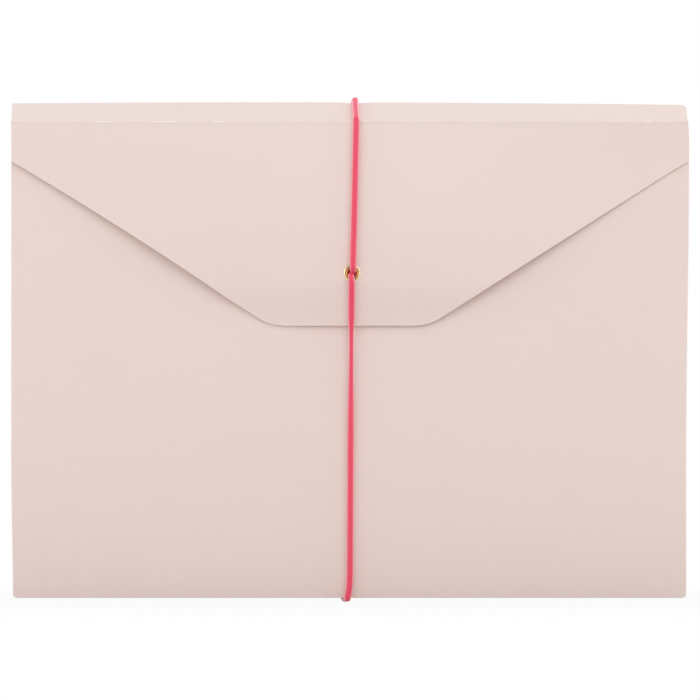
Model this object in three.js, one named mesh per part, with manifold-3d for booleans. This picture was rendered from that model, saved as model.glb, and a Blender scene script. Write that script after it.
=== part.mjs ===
// Expanding file with pleated pockets, a fold-over flap and an elastic cord that holds it shut.
// Millimetres, +Z up. The file stands on its bottom edge, its front faces -Y, and the origin is
// at the bottom centre. While it is built, depth 0 is the back cover's inner face, and height 0
// is the level of the covers' bottom edges.
import * as THREE from 'three';
import { mergeVertices } from 'three/addons/utils/BufferGeometryUtils.js';
import Module from 'manifold-3d';

const wasm = await Module();
wasm.setup();

// Covers of thick polypropylene sheet
const COVER_WIDTH = 330;
const COVER_HEIGHT = 241.5;
const COVER_THICKNESS = 0.9;
const COVER_CORNER = 2;
const FRONT_COVER_CORNER = 5;

// How far the front cover ends below the file's top, the dividers below it and the gussets below them
const FRONT_COVER_DROP = 23.5;
const DIVIDER_DROP = 3.5;
const GUSSET_DROP = 2.5;

// The front cover bulges most below its middle, where nothing presses on it
const BULGE_LOW = new THREE.Vector2(10, 34);
const BULGE_HIGH = new THREE.Vector2(1.2, 119);
const COVER_STEPS = 28;

// Pockets and the sheets between them
const POCKETS = 6;
const POCKET_GAP = 4.4;
const DIVIDER_THICKNESS = 0.5;
const DIVIDER_CORNER = 3;
const TAB_WIDTH = 46;
const TAB_RISE = 9;
const TAB_SLOPE = 4;
const TAB_CORNER = 2.5;
const TAB_MARGIN = 8;

// Gusset strips, one V-fold for each pocket, welded along both margins
const GUSSET_THICKNESS = 0.35;
const OUTER_FOLD_INSET = 4.2;
const INNER_FOLD_INSET = 12;
const WELD_WIDTH = 6;
const DIVIDER_EDGE_GAP = 0.4;
const CURVED_PLEAT_STEPS = 16;

// Flap and the panel over the pockets, which hang on two creases
const CREASE_DROP = 9;
const CREASE_GAP = 0.9;
const FLAP_CLEARANCE = 1;
const FLAP_SIDE_HEIGHT = 28.3;
const FLAP_LENGTH = 108.7;
const FLAP_TIP_WIDTH = 76.8;
const FLAP_TIP_RADIUS = 22.5;
const FLAP_TIP_RETURN = 0.85;
const FLAP_LEAN_STEPS = 16;
const FLAP_CURL_STEPS = 6;

// Eyelet near the tip of the flap
const EYELET_X = 1.3;
const EYELET_DROP = 83.1;
const EYELET_BORE_RADIUS = 2.4;
const EYELET_WALL = 0.3;
const EYELET_RIM_RADIUS = 4.1;
const EYELET_RIM_THICKNESS = 0.8;
const EYELET_FLARE_RADIUS = 3.8;
const EYELET_FLARE_THICKNESS = 0.4;
const EYELET_SEAT_HALF = 6;
const EYELET_SEGMENTS = 28;
const WASHER_RADIUS = 4.7;
const WASHER_THICKNESS = 0.4;

// Elastic cord. It runs round the file in one loop whose ends are knotted behind the eyelet.
const CORD_RADIUS = 1.5;
const CORD_SIDES = 8;
const CORD_LIFT = 0.3;
const CORD_BEND = 2.6;
const BEND_STEPS = 5;
const MOUTH_BEND = 1.8;
const KNOT_THICKNESS = 4;
const KNOT_RADIUS = 4.6;
const TAIL_RADIUS = 1.3;
const TAIL_LENGTH = 9;
const TAIL_START = 2.1;
const TAIL_LEAN = 3.2;

// The nick that the tight cord has bitten into each cover's bottom edge
const NICK_HALF_WIDTH = 1.9;
const NICK_DEPTH = 3.4;
const NICK_CORNER = 1.1;

// Route of the cord: it leans a little across the file, as it was pulled on. Angles in degrees
// turn from +Y towards +Z, and say where the cord comes on to a bend.
const UPPER_MOUTH = new THREE.Vector2(1.9, 1.5);
const LOWER_MOUTH = new THREE.Vector2(0.6, -1.55);
const CORD_TOP_X = 2.9;
const CORD_REAR_TOP_X = 2.5;
const CORD_REAR_FOOT_X = 0.6;
const CORD_FRONT_FOOT_X = -0.9;
const UPPER_STRAND_START = 10;
const UPPER_STRAND_STEPS = 5;
const FRONT_CREASE_ANGLE = 183;
const FLAP_DROPS = [12, 19];
const COVER_HEIGHTS = [58, 44, 32, 22, 14, 9];
const FOOT_ANGLE = 196;
const FOOT_LEAD = 0.1;

// Clearances between neighbours
const SEAT_GAP = 0.05;
const CURVED_SEAT_GAP = 0.12;
const RUNNING_GAP = 0.3;

// Places that follow from the sizes above
const sheetPitch = POCKET_GAP + DIVIDER_THICKNESS;
const stackDepth = POCKETS * sheetPitch - DIVIDER_THICKNESS;
const halfWidth = COVER_WIDTH / 2;
const halfThickness = COVER_THICKNESS / 2;
const frontCoverTopZ = COVER_HEIGHT - FRONT_COVER_DROP;
const dividerTopZ = frontCoverTopZ - DIVIDER_DROP;
const gussetTopZ = dividerTopZ - GUSSET_DROP;
const eyeletZ = COVER_HEIGHT - EYELET_DROP;
const flapTipZ = COVER_HEIGHT - FLAP_LENGTH;
const rearCrease = new THREE.Vector2(halfThickness, COVER_HEIGHT - halfThickness);
const frontCrease = new THREE.Vector2(
    -(stackDepth + COVER_THICKNESS + FLAP_CLEARANCE + halfThickness),
    rearCrease.y - CREASE_DROP,
);

const bulge = new THREE.CubicBezierCurve(
    new THREE.Vector2(0, 0),
    BULGE_LOW,
    BULGE_HIGH,
    new THREE.Vector2(0, frontCoverTopZ),
);
const bulgeLine = bulge.getPoints(4 * COVER_STEPS);

/** How far the front cover bulges at a height. */
function bulgeAt(z) {
    const height = THREE.MathUtils.clamp(z, 0, bulgeLine.at(-1).y);
    const next = Math.max(1, bulgeLine.findIndex((p) => p.y >= height));
    const low = bulgeLine[next - 1];
    const high = bulgeLine[next];
    return low.x + ((high.x - low.x) * (height - low.y)) / (high.y - low.y);
}

/** Depth of the front cover's outer face at a height. */
function frontFaceAt(z) {
    return -(stackDepth + COVER_THICKNESS + bulgeAt(z));
}

// The knot, the eyelet's flare and its washer set how far the flap stands off the front cover
const knotBack = frontFaceAt(eyeletZ) - RUNNING_GAP;
const knotFront = knotBack - KNOT_THICKNESS;
const flareBack = knotFront - RUNNING_GAP;
const washerBack = flareBack - EYELET_FLARE_THICKNESS - SEAT_GAP;
const flapInner = washerBack - WASHER_THICKNESS - SEAT_GAP;
const flapOuter = flapInner - COVER_THICKNESS;
const rimBack = flapOuter - SEAT_GAP;
const rimFront = rimBack - EYELET_RIM_THICKNESS;
const flapSeat = flapInner - halfThickness;

/** The flap seen from the side: crease, outward lean, flat seat for the eyelet, tip. */
function flapProfile() {
    const start = new THREE.Vector2(frontCrease.x, frontCrease.y - CREASE_GAP);
    const seatTop = new THREE.Vector2(flapSeat, eyeletZ + EYELET_SEAT_HALF);
    const seatBottom = new THREE.Vector2(flapSeat, eyeletZ - EYELET_SEAT_HALF);
    const tip = new THREE.Vector2(flapSeat + FLAP_TIP_RETURN, flapTipZ);
    const rise = start.y - seatTop.y;
    const lean = new THREE.CubicBezierCurve(
        start,
        new THREE.Vector2((start.x + seatTop.x) / 2, start.y - rise / 3),
        new THREE.Vector2(seatTop.x, seatTop.y + rise / 3),
        seatTop,
    );
    const curl = new THREE.QuadraticBezierCurve(
        seatBottom,
        new THREE.Vector2(flapSeat, (seatBottom.y + tip.y) / 2),
        tip,
    );
    return [...lean.getPoints(FLAP_LEAN_STEPS), ...curl.getPoints(FLAP_CURL_STEPS)];
}

const flapLine = flapProfile();

/** Depth of the flap's outer face at a height. */
function flapFaceAt(z) {
    const next = Math.max(1, flapLine.findIndex((p) => p.y <= z));
    const high = flapLine[next - 1];
    const low = flapLine[next];
    const middle = low.x + ((high.x - low.x) * (z - low.y)) / (high.y - low.y);
    return middle - halfThickness;
}

/** Shape with each corner rounded: corners are [x, y, radius], counter-clockwise. */
function roundedShape(corners) {
    const shape = new THREE.Shape();
    corners.forEach(([x, y, radius], i) => {
        const here = new THREE.Vector2(x, y);
        const before = new THREE.Vector2(...corners.at(i - 1));
        const after = new THREE.Vector2(...corners[(i + 1) % corners.length]);
        const inward = here.clone().sub(before).normalize();
        const outward = after.sub(here).normalize();
        const turn = Math.atan2(inward.cross(outward), inward.dot(outward));
        const reach = Math.abs(radius * Math.tan(turn / 2));
        const start = here.clone().addScaledVector(inward, -reach);
        const side = Math.sign(turn);
        const normal = new THREE.Vector2(-inward.y, inward.x).multiplyScalar(side);
        const centre = start.clone().addScaledVector(normal, radius);
        const from = Math.atan2(start.y - centre.y, start.x - centre.x);
        if (radius > 0) {
            shape.absarc(centre.x, centre.y, radius, from, from + turn, side < 0);
        } else if (i === 0) {
            shape.moveTo(x, y);
        } else {
            shape.lineTo(x, y);
        }
    });
    return shape;
}

/** Both sides of a line of points, a given thickness apart, as one closed outline. */
function thickened(line, thickness) {
    const offset = (side) => line.map((point, i) => {
        const before = line[Math.max(0, i - 1)];
        const after = line[Math.min(line.length - 1, i + 1)];
        const first = point.clone().sub(before).normalize();
        const second = after.clone().sub(point).normalize();
        const along = first.clone().add(second).normalize();
        const spread = i === 0 || i === line.length - 1 ? 1 : along.dot(second);
        const normal = new THREE.Vector2(-along.y, along.x);
        return point.clone().addScaledVector(normal, (side * thickness) / 2 / spread);
    });
    return [...offset(1), ...offset(-1).reverse()];
}

/** A line carried straight on past both of its ends. */
function carriedOn(line, reach) {
    const past = (end, inner) => end.clone().addScaledVector(end.clone().sub(inner).normalize(), reach);
    return [past(line[0], line[1]), ...line, past(line.at(-1), line.at(-2))];
}

/** Prism of an outline drawn in X and Z, from one depth to another. */
function prismAlongY(shape, fromY, toY, curveSegments = 10) {
    const options = { depth: toY - fromY, bevelEnabled: false, curveSegments };
    const geometry = new THREE.ExtrudeGeometry(shape, options);
    geometry.rotateX(Math.PI / 2);
    return geometry.translate(0, toY, 0);
}

/** Prism of an outline drawn in Y and Z, across the whole width. */
function prismAlongX(points, width) {
    const options = { depth: width, bevelEnabled: false };
    const geometry = new THREE.ExtrudeGeometry(new THREE.Shape(points), options);
    const turn = new THREE.Matrix4().set(0, 0, 1, -width / 2, 1, 0, 0, 0, 0, 1, 0, 0, 0, 0, 0, 1);
    return geometry.applyMatrix4(turn);
}

/** Manifold solid of a closed geometry. */
function solid(geometry) {
    const bare = geometry.clone();
    bare.deleteAttribute('normal');
    bare.deleteAttribute('uv');
    const merged = mergeVertices(bare);
    return new wasm.Manifold(new wasm.Mesh({
        numProp: 3,
        vertProperties: new Float32Array(merged.attributes.position.array),
        triVerts: new Uint32Array(merged.index.array),
    }));
}

/** Geometry of a manifold solid. */
function geometryOf(manifold) {
    const { vertProperties, triVerts } = manifold.getMesh();
    const geometry = new THREE.BufferGeometry();
    geometry.setAttribute('position', new THREE.BufferAttribute(vertProperties, 3));
    geometry.setIndex(new THREE.BufferAttribute(triVerts, 1));
    return geometry;
}

/** Geometry with its faces turned out, whichever way its outline ran. */
function facingOut(positions, index) {
    const corner = (i) => new THREE.Vector3().fromArray(positions, 3 * i);
    let volume = 0;
    for (let i = 0; i < index.length; i += 3) {
        const [a, b, c] = [corner(index[i]), corner(index[i + 1]), corner(index[i + 2])];
        volume += a.dot(b.cross(c));
    }
    const geometry = new THREE.BufferGeometry();
    geometry.setAttribute('position', new THREE.Float32BufferAttribute(positions, 3));
    geometry.setIndex(volume < 0 ? index.reverse() : index);
    return geometry;
}

/** Closed body through rings of points with equal counts, capped by its first and last ring. */
function loft(rings, section) {
    const count = section.length;
    const positions = rings.flat().flatMap((p) => [p.x, p.y, p.z]);
    const index = [];
    for (let ring = 0; ring + 1 < rings.length; ring += 1) {
        for (let i = 0; i < count; i += 1) {
            const a = ring * count + i;
            const b = ring * count + ((i + 1) % count);
            index.push(a, b, b + count, a, b + count, a + count);
        }
    }
    const last = (rings.length - 1) * count;
    const clockwise = THREE.ShapeUtils.isClockWise(section);
    for (const triangle of THREE.ShapeUtils.triangulateShape(section, [])) {
        const [a, b, c] = clockwise ? triangle : triangle.reverse();
        index.push(a, b, c, last + a, last + c, last + b);
    }
    return facingOut(positions, index);
}

/** Round cord through a route of points. */
function cordAlong(route, radius = CORD_RADIUS) {
    const circle = Array.from({ length: CORD_SIDES }, (_, i) => {
        const angle = ((i + 0.5) / CORD_SIDES) * 2 * Math.PI;
        return new THREE.Vector2(radius * Math.cos(angle), radius * Math.sin(angle));
    });
    const rings = route.map((point, i) => {
        const before = route[Math.max(0, i - 1)];
        const after = route[Math.min(route.length - 1, i + 1)];
        const tangent = after.clone().sub(before).normalize();
        const across = new THREE.Vector3(1, 0, 0).addScaledVector(tangent, -tangent.x).normalize();
        const up = tangent.clone().cross(across);
        return circle.map((p) => point.clone().addScaledVector(across, p.x).addScaledVector(up, p.y));
    });
    return loft(rings, circle);
}

/** Points on a bend round a centre in the YZ plane, between two angles from +Y towards +Z. */
function bend(centre, radius, fromDegrees, toDegrees, x, steps) {
    return Array.from({ length: steps + 1 }, (_, i) => {
        const share = i / steps;
        const angle = THREE.MathUtils.degToRad(fromDegrees + (toDegrees - fromDegrees) * share);
        const y = centre.x + radius * Math.cos(angle);
        const z = centre.y + radius * Math.sin(angle);
        return new THREE.Vector3(x, y, z);
    });
}

/** Colour and surface of one material. */
function finish(red, green, blue, roughness, metalness = 0) {
    const color = new THREE.Color().setRGB(red, green, blue, THREE.SRGBColorSpace);
    return { color, roughness, metalness };
}

const coverPlastic = finish(0.885, 0.785, 0.752, 0.62);
const dividerPlastic = finish(0.89, 0.795, 0.765, 0.66);
const gussetPlastic = finish(0.875, 0.768, 0.735, 0.66);
const coralElastic = finish(0.95, 0.33, 0.44, 0.8);
const brass = finish(0.86, 0.69, 0.42, 0.25, 1);

const model = new THREE.Group();

/** Adds one named piece with a material of its own. */
function addPiece(name, geometry, surface) {
    const mesh = new THREE.Mesh(geometry, new THREE.MeshStandardMaterial(surface));
    mesh.name = name;
    model.add(mesh);
}

/** Cutter for the nick in a cover's bottom edge. */
function nickAt(x, fromY, toY) {
    const shape = roundedShape([
        [x - NICK_HALF_WIDTH, -NICK_DEPTH, 0],
        [x + NICK_HALF_WIDTH, -NICK_DEPTH, 0],
        [x + NICK_HALF_WIDTH, NICK_DEPTH, NICK_CORNER],
        [x - NICK_HALF_WIDTH, NICK_DEPTH, NICK_CORNER],
    ]);
    return solid(prismAlongY(shape, fromY, toY, 4));
}

function backCover() {
    const creaseEdge = rearCrease.y - CREASE_GAP;
    const outline = roundedShape([
        [-halfWidth, 0, COVER_CORNER],
        [halfWidth, 0, COVER_CORNER],
        [halfWidth, creaseEdge, 0],
        [-halfWidth, creaseEdge, 0],
    ]);
    const sheet = solid(prismAlongY(outline, 0, COVER_THICKNESS));
    const nick = nickAt(CORD_REAR_FOOT_X, -COVER_THICKNESS, 2 * COVER_THICKNESS);
    addPiece('back_cover', geometryOf(sheet.subtract(nick)), coverPlastic);
}

function frontCover() {
    const line = bulge.getPoints(COVER_STEPS).map((p) => {
        return new THREE.Vector2(-(stackDepth + halfThickness + p.x), p.y);
    });
    const outline = roundedShape([
        [-halfWidth, 0, COVER_CORNER],
        [halfWidth, 0, COVER_CORNER],
        [halfWidth, frontCoverTopZ, FRONT_COVER_CORNER],
        [-halfWidth, frontCoverTopZ, FRONT_COVER_CORNER],
    ]);
    const past = 2 * frontFaceAt(0);
    const section = thickened(carriedOn(line, COVER_THICKNESS), COVER_THICKNESS);
    const slab = solid(prismAlongX(section, COVER_WIDTH));
    const sheet = slab.intersect(solid(prismAlongY(outline, past, 0)));
    const nicked = sheet.subtract(nickAt(CORD_FRONT_FOOT_X, past, 0));
    addPiece('front_cover', geometryOf(nicked), coverPlastic);
}

/** The panel over the pockets: a flat strip whose rounded edges lie on the two creases. */
function topPanel() {
    const along = frontCrease.clone().sub(rearCrease);
    const angle = Math.atan2(along.y, along.x);
    const edge = new THREE.Shape();
    edge.absarc(frontCrease.x, frontCrease.y, halfThickness, angle - Math.PI / 2, angle + Math.PI / 2);
    edge.absarc(rearCrease.x, rearCrease.y, halfThickness, angle + Math.PI / 2, angle + 1.5 * Math.PI);
    const points = edge.getPoints(6).slice(0, -1);
    addPiece('top_panel', prismAlongX(points, COVER_WIDTH), coverPlastic);
}

function flap() {
    const sideZ = COVER_HEIGHT - FLAP_SIDE_HEIGHT;
    const outline = roundedShape([
        [-FLAP_TIP_WIDTH / 2, flapTipZ, FLAP_TIP_RADIUS],
        [FLAP_TIP_WIDTH / 2, flapTipZ, FLAP_TIP_RADIUS],
        [halfWidth, sideZ, 0],
        [halfWidth, frontCrease.y, 0],
        [-halfWidth, frontCrease.y, 0],
        [-halfWidth, sideZ, 0],
    ]);
    const hole = new THREE.Path();
    const holeRadius = EYELET_BORE_RADIUS + EYELET_WALL + RUNNING_GAP;
    hole.absarc(EYELET_X, eyeletZ, holeRadius, 0, 2 * Math.PI);
    outline.holes.push(hole);
    const slab = solid(prismAlongX(thickened(flapLine, COVER_THICKNESS), COVER_WIDTH));
    const cutter = solid(prismAlongY(outline, 2 * rimFront, 0, 12));
    addPiece('flap', geometryOf(slab.intersect(cutter)), coverPlastic);
}

/** Turned ring on the eyelet's axis from a closed profile of [radius, depth] points. */
function turned(profile) {
    const closed = [...profile, profile[0]].map(([r, y]) => new THREE.Vector2(r, y));
    return new THREE.LatheGeometry(closed, EYELET_SEGMENTS).translate(EYELET_X, 0, eyeletZ);
}

function eyelet() {
    const wall = EYELET_BORE_RADIUS + EYELET_WALL;
    const rimMiddle = (wall + EYELET_RIM_RADIUS) / 2;
    const lip = EYELET_RIM_THICKNESS / 3;
    const profile = [
        [EYELET_BORE_RADIUS, flareBack - EYELET_FLARE_THICKNESS],
        [EYELET_BORE_RADIUS, rimFront + lip],
        [EYELET_BORE_RADIUS + lip, rimFront + lip / 3],
        [rimMiddle, rimFront],
        [EYELET_RIM_RADIUS - lip, rimFront + lip / 2],
        [EYELET_RIM_RADIUS, rimFront + 1.5 * lip],
        [EYELET_RIM_RADIUS, rimBack],
        [wall, rimBack],
        [wall, flareBack - EYELET_FLARE_THICKNESS],
        [EYELET_FLARE_RADIUS, flareBack - EYELET_FLARE_THICKNESS],
        [EYELET_FLARE_RADIUS - lip, flareBack],
        [EYELET_BORE_RADIUS + lip, flareBack],
    ];
    addPiece('eyelet', turned(profile), brass);
}

function eyeletWasher() {
    const inner = EYELET_BORE_RADIUS + EYELET_WALL + RUNNING_GAP;
    const front = washerBack - WASHER_THICKNESS;
    const profile = [
        [inner, front],
        [WASHER_RADIUS, front],
        [WASHER_RADIUS, washerBack - WASHER_THICKNESS / 3],
        [WASHER_RADIUS - WASHER_THICKNESS / 2, washerBack],
        [inner, washerBack],
    ];
    addPiece('eyelet_washer', turned(profile), brass);
}

/** Knot in the two cord ends: a pressed lump with two tails, and the neck through the eyelet. */
function knot() {
    const middle = (knotBack + knotFront) / 2;
    const lump = new THREE.SphereGeometry(1, 16, 10);
    lump.scale(KNOT_RADIUS, KNOT_THICKNESS / 2, KNOT_RADIUS);
    lump.translate(EYELET_X, middle, eyeletZ);
    const neckRadius = EYELET_BORE_RADIUS - RUNNING_GAP;
    const neckLength = middle - rimFront;
    const neck = new THREE.CylinderGeometry(neckRadius, neckRadius, neckLength, 16);
    neck.translate(EYELET_X, rimFront + neckLength / 2, eyeletZ);
    let joined = solid(lump).add(solid(neck));
    for (const side of [-1, 1]) {
        const start = new THREE.Vector3(EYELET_X + side * TAIL_START, middle, eyeletZ);
        const end = start.clone().add(new THREE.Vector3(side * TAIL_LEAN, 0, -TAIL_LENGTH));
        joined = joined.add(solid(cordAlong([start, end], TAIL_RADIUS)));
    }
    addPiece('elastic_knot', geometryOf(joined), coralElastic);
}

/** One divider sheet, with its index tab a step further along than the one behind it. */
function divider(number) {
    const inset = INNER_FOLD_INSET + DIVIDER_EDGE_GAP;
    const side = halfWidth - inset;
    const count = POCKETS - 1;
    const span = 2 * (side - TAB_MARGIN) - TAB_WIDTH;
    const share = count > 1 ? (number - 1) / (count - 1) : 0;
    const tabLeft = -side + TAB_MARGIN + span * share;
    const tabRight = tabLeft + TAB_WIDTH;
    const outline = roundedShape([
        [-side, inset, DIVIDER_CORNER],
        [side, inset, DIVIDER_CORNER],
        [side, dividerTopZ, DIVIDER_CORNER],
        [tabRight, dividerTopZ, TAB_CORNER],
        [tabRight - TAB_SLOPE, dividerTopZ + TAB_RISE, TAB_CORNER],
        [tabLeft + TAB_SLOPE, dividerTopZ + TAB_RISE, TAB_CORNER],
        [tabLeft, dividerTopZ, TAB_CORNER],
        [-side, dividerTopZ, DIVIDER_CORNER],
    ]);
    const back = -(number * sheetPitch - DIVIDER_THICKNESS);
    const sheet = prismAlongY(outline, back - DIVIDER_THICKNESS, back, 5);
    addPiece(`divider_${number}`, sheet, dividerPlastic);
}

/** One pleat: welds on the sheets behind and before it, and a V-fold that points outwards. */
function gusset(number) {
    const back = -(number - 1) * sheetPitch;
    const followsCover = number === POCKETS;
    const front = back - POCKET_GAP + (followsCover ? CURVED_SEAT_GAP : 0);
    const half = GUSSET_THICKNESS / 2;
    const weldInset = INNER_FOLD_INSET + WELD_WIDTH;
    const line = [
        new THREE.Vector2(back - half, weldInset),
        new THREE.Vector2(back - half, INNER_FOLD_INSET),
        new THREE.Vector2((back + front) / 2, OUTER_FOLD_INSET),
        new THREE.Vector2(front + half, INNER_FOLD_INSET),
        new THREE.Vector2(front + half, weldInset),
    ];
    const section = thickened(line, GUSSET_THICKNESS);
    const place = (x, z, p) => {
        const share = followsCover ? THREE.MathUtils.clamp((back - p.x) / POCKET_GAP, 0, 1) : 0;
        return new THREE.Vector3(x, p.x - share * bulgeAt(z), z);
    };
    const sideSteps = followsCover ? CURVED_PLEAT_STEPS : 1;
    const heights = Array.from({ length: sideSteps }, (_, i) => 1 - i / sideSteps);
    const sideRing = (side, share) => section.map((p) => {
        return place(side * (halfWidth - p.y), THREE.MathUtils.lerp(p.y, gussetTopZ, share), p);
    });
    const rings = [
        ...heights.map((share) => sideRing(-1, share)),
        sideRing(-1, 0),
        sideRing(1, 0),
        ...heights.reverse().map((share) => sideRing(1, share)),
    ];
    addPiece(`gusset_${number}`, loft(rings, section), gussetPlastic);
}

// How the cord lies on the sheets: its middle line's distance from them, and its bends
const cordOffset = CORD_RADIUS + CORD_LIFT;
const creaseBend = halfThickness + cordOffset;
const footZ = CORD_RADIUS + CORD_BEND;
const rearStrandY = COVER_THICKNESS + cordOffset;
const panelSlope = THREE.MathUtils.radToDeg(
    Math.atan2(rearCrease.y - frontCrease.y, rearCrease.x - frontCrease.x),
);
const panelNormal = 90 + panelSlope;

/** The start of a strand: out of the eyelet's mouth and over its rim, upwards or downwards. */
function overRim(mouth, way) {
    const z = eyeletZ + mouth.y;
    const start = rimFront - RUNNING_GAP;
    const centre = new THREE.Vector2(start - RUNNING_GAP, z + way * MOUTH_BEND);
    const turn = bend(centre, MOUTH_BEND, 180 + way * 90, 180, mouth.x, BEND_STEPS);
    const past = turn.at(-1).clone();
    past.z += way * MOUTH_BEND;
    return [new THREE.Vector3(mouth.x, start, z), ...turn, past];
}

/** Up the flap's face from the eyelet, and round the front crease. */
function upperStrand() {
    const onFlap = Array.from({ length: UPPER_STRAND_STEPS }, (_, i) => {
        const share = i / UPPER_STRAND_STEPS;
        const z = THREE.MathUtils.lerp(eyeletZ + UPPER_STRAND_START, frontCrease.y, share);
        const x = THREE.MathUtils.lerp(UPPER_MOUTH.x, CORD_TOP_X, share);
        return new THREE.Vector3(x, flapFaceAt(z) - cordOffset, z);
    });
    const from = FRONT_CREASE_ANGLE;
    const corner = bend(frontCrease, creaseBend, from, panelNormal, CORD_TOP_X, BEND_STEPS);
    const route = [...overRim(UPPER_MOUTH, 1), ...onFlap, ...corner];
    addPiece('elastic_upper', cordAlong(route), coralElastic);
}

/** Over the top panel and round the rear crease. */
function topStrand() {
    const [cornerEnd] = bend(frontCrease, creaseBend, panelNormal, panelNormal, CORD_TOP_X, 1);
    const corner = bend(rearCrease, creaseBend, panelNormal, 0, CORD_REAR_TOP_X, BEND_STEPS);
    const along = corner[0].clone().sub(cornerEnd);
    const start = cornerEnd.clone().addScaledVector(along.normalize(), RUNNING_GAP);
    addPiece('elastic_top', cordAlong([start, ...corner]), coralElastic);
}

/** Straight down the back cover. */
function rearStrand() {
    const top = new THREE.Vector3(CORD_REAR_TOP_X, rearStrandY, rearCrease.y - RUNNING_GAP);
    const bottom = new THREE.Vector3(CORD_REAR_FOOT_X, rearStrandY, footZ + RUNNING_GAP);
    addPiece('elastic_rear', cordAlong([top, bottom]), coralElastic);
}

/** Down over the flap's tip and the bulge, and under the file to the back. */
function lowerStrand() {
    const onFlap = FLAP_DROPS.map((drop) => {
        const z = eyeletZ - drop;
        return new THREE.Vector3(LOWER_MOUTH.x, flapFaceAt(z) - cordOffset, z);
    });
    const tip = new THREE.Vector3(LOWER_MOUTH.x, flapFaceAt(flapTipZ) - cordOffset, flapTipZ);
    const onCover = COVER_HEIGHTS.map((z) => {
        const x = THREE.MathUtils.lerp(CORD_FRONT_FOOT_X, LOWER_MOUTH.x, z / flapTipZ);
        return new THREE.Vector3(x, frontFaceAt(z) - cordOffset, z);
    });
    const free = tip.clone().lerp(onCover[0], 0.5);
    const frontBend = new THREE.Vector2(-(stackDepth + COVER_THICKNESS + FOOT_LEAD), footZ);
    const rearBend = new THREE.Vector2(rearStrandY - CORD_BEND, footZ);
    const route = [
        ...overRim(LOWER_MOUTH, -1),
        ...onFlap,
        tip,
        free,
        ...onCover,
        ...bend(frontBend, CORD_BEND, FOOT_ANGLE, 270, CORD_FRONT_FOOT_X, BEND_STEPS),
        ...bend(rearBend, CORD_BEND, 270, 360, CORD_REAR_FOOT_X, BEND_STEPS),
    ];
    addPiece('elastic_lower', cordAlong(route), coralElastic);
}

backCover();
frontCover();
topPanel();
flap();
eyelet();
eyeletWasher();
knot();
for (let number = 1; number < POCKETS; number += 1) {
    divider(number);
}
for (let number = 1; number <= POCKETS; number += 1) {
    gusset(number);
}
upperStrand();
topStrand();
rearStrand();
lowerStrand();

// The model is centred front to back on its lowest point, so that the origin is under its middle
const extent = new THREE.Box3().setFromObject(model);
model.position.y = -(extent.min.y + extent.max.y) / 2;
model.position.z = -extent.min.z;

/** A point on a joint, in the finished model's own frame. */
function jointPoint(x, y, z) {
    return [x, y + model.position.y, z + model.position.z];
}

model.userData.jointPoints = {
    rear_crease: jointPoint(0, rearCrease.x, rearCrease.y),
    front_crease: jointPoint(0, frontCrease.x, frontCrease.y),
    lower_strand: jointPoint(LOWER_MOUTH.x, rimFront - RUNNING_GAP, eyeletZ + LOWER_MOUTH.y),
    rear_strand_foot: jointPoint(CORD_REAR_FOOT_X, rearStrandY, footZ),
};

export default model;
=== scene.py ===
# %% [markdown]
# # A pleated file with an elastic cord
#
# The object is an expanding file of pale pink polypropylene. Six pockets hang between two covers, a
# flap folds over the front, and a coral elastic cord runs from a brass eyelet round the whole file.
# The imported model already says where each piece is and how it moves. This lesson gives the pieces
# their looks: sheets with rounded cut edges, soft pleats, creases, a braided cord and polished brass.
# Every length is in metres, and every piece is made where it belongs.

# %% Load the fixed model
import math

import bmesh
import bpy
import numpy as np
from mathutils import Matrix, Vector, noise


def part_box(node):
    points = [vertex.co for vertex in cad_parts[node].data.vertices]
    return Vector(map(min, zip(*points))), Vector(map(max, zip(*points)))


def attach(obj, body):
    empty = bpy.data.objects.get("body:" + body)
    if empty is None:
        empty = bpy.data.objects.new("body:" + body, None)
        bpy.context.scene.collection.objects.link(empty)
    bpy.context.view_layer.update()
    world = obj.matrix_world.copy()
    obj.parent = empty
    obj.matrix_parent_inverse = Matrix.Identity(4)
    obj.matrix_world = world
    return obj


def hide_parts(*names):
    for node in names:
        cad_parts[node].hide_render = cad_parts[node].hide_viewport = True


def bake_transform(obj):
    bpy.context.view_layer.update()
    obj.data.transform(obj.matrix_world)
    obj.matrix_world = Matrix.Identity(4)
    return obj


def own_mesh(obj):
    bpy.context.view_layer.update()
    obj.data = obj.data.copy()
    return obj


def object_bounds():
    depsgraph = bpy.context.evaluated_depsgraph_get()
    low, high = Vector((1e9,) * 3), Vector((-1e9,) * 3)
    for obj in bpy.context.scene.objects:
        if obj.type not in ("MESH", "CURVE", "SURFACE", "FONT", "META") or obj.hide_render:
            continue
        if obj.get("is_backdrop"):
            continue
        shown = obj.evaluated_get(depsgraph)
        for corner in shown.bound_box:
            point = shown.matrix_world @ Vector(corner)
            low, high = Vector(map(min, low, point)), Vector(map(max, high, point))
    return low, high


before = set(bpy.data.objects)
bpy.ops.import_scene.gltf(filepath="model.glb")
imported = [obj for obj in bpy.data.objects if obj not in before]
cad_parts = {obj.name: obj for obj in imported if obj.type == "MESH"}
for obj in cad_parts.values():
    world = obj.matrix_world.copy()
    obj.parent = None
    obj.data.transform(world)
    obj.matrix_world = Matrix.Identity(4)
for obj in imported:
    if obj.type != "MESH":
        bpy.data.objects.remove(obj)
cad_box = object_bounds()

scene = bpy.context.scene
print("model:", [round(1000 * size, 1) for size in cad_box[1] - cad_box[0]], "mm")

# %% [markdown]
# ## The camera
#
# The picture was taken square to the front, from so far away that nothing narrows with distance. A
# very long lens does the same here, and it keeps true perspective, unlike an orthographic camera.
# The focal length follows from the distance and from how much of the scene the picture is wide.

# %% Camera
PICTURE_WIDTH = 0.34125
PICTURE_MIDDLE = (0.0003, 0.1209)
CAMERA_DISTANCE = 12.0
SIGHT_END = 40
SENSOR = 36.0


def put(name, data):
    """A new object in the scene."""
    made = bpy.data.objects.new(name, data)
    scene.collection.objects.link(made)
    return made


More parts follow.
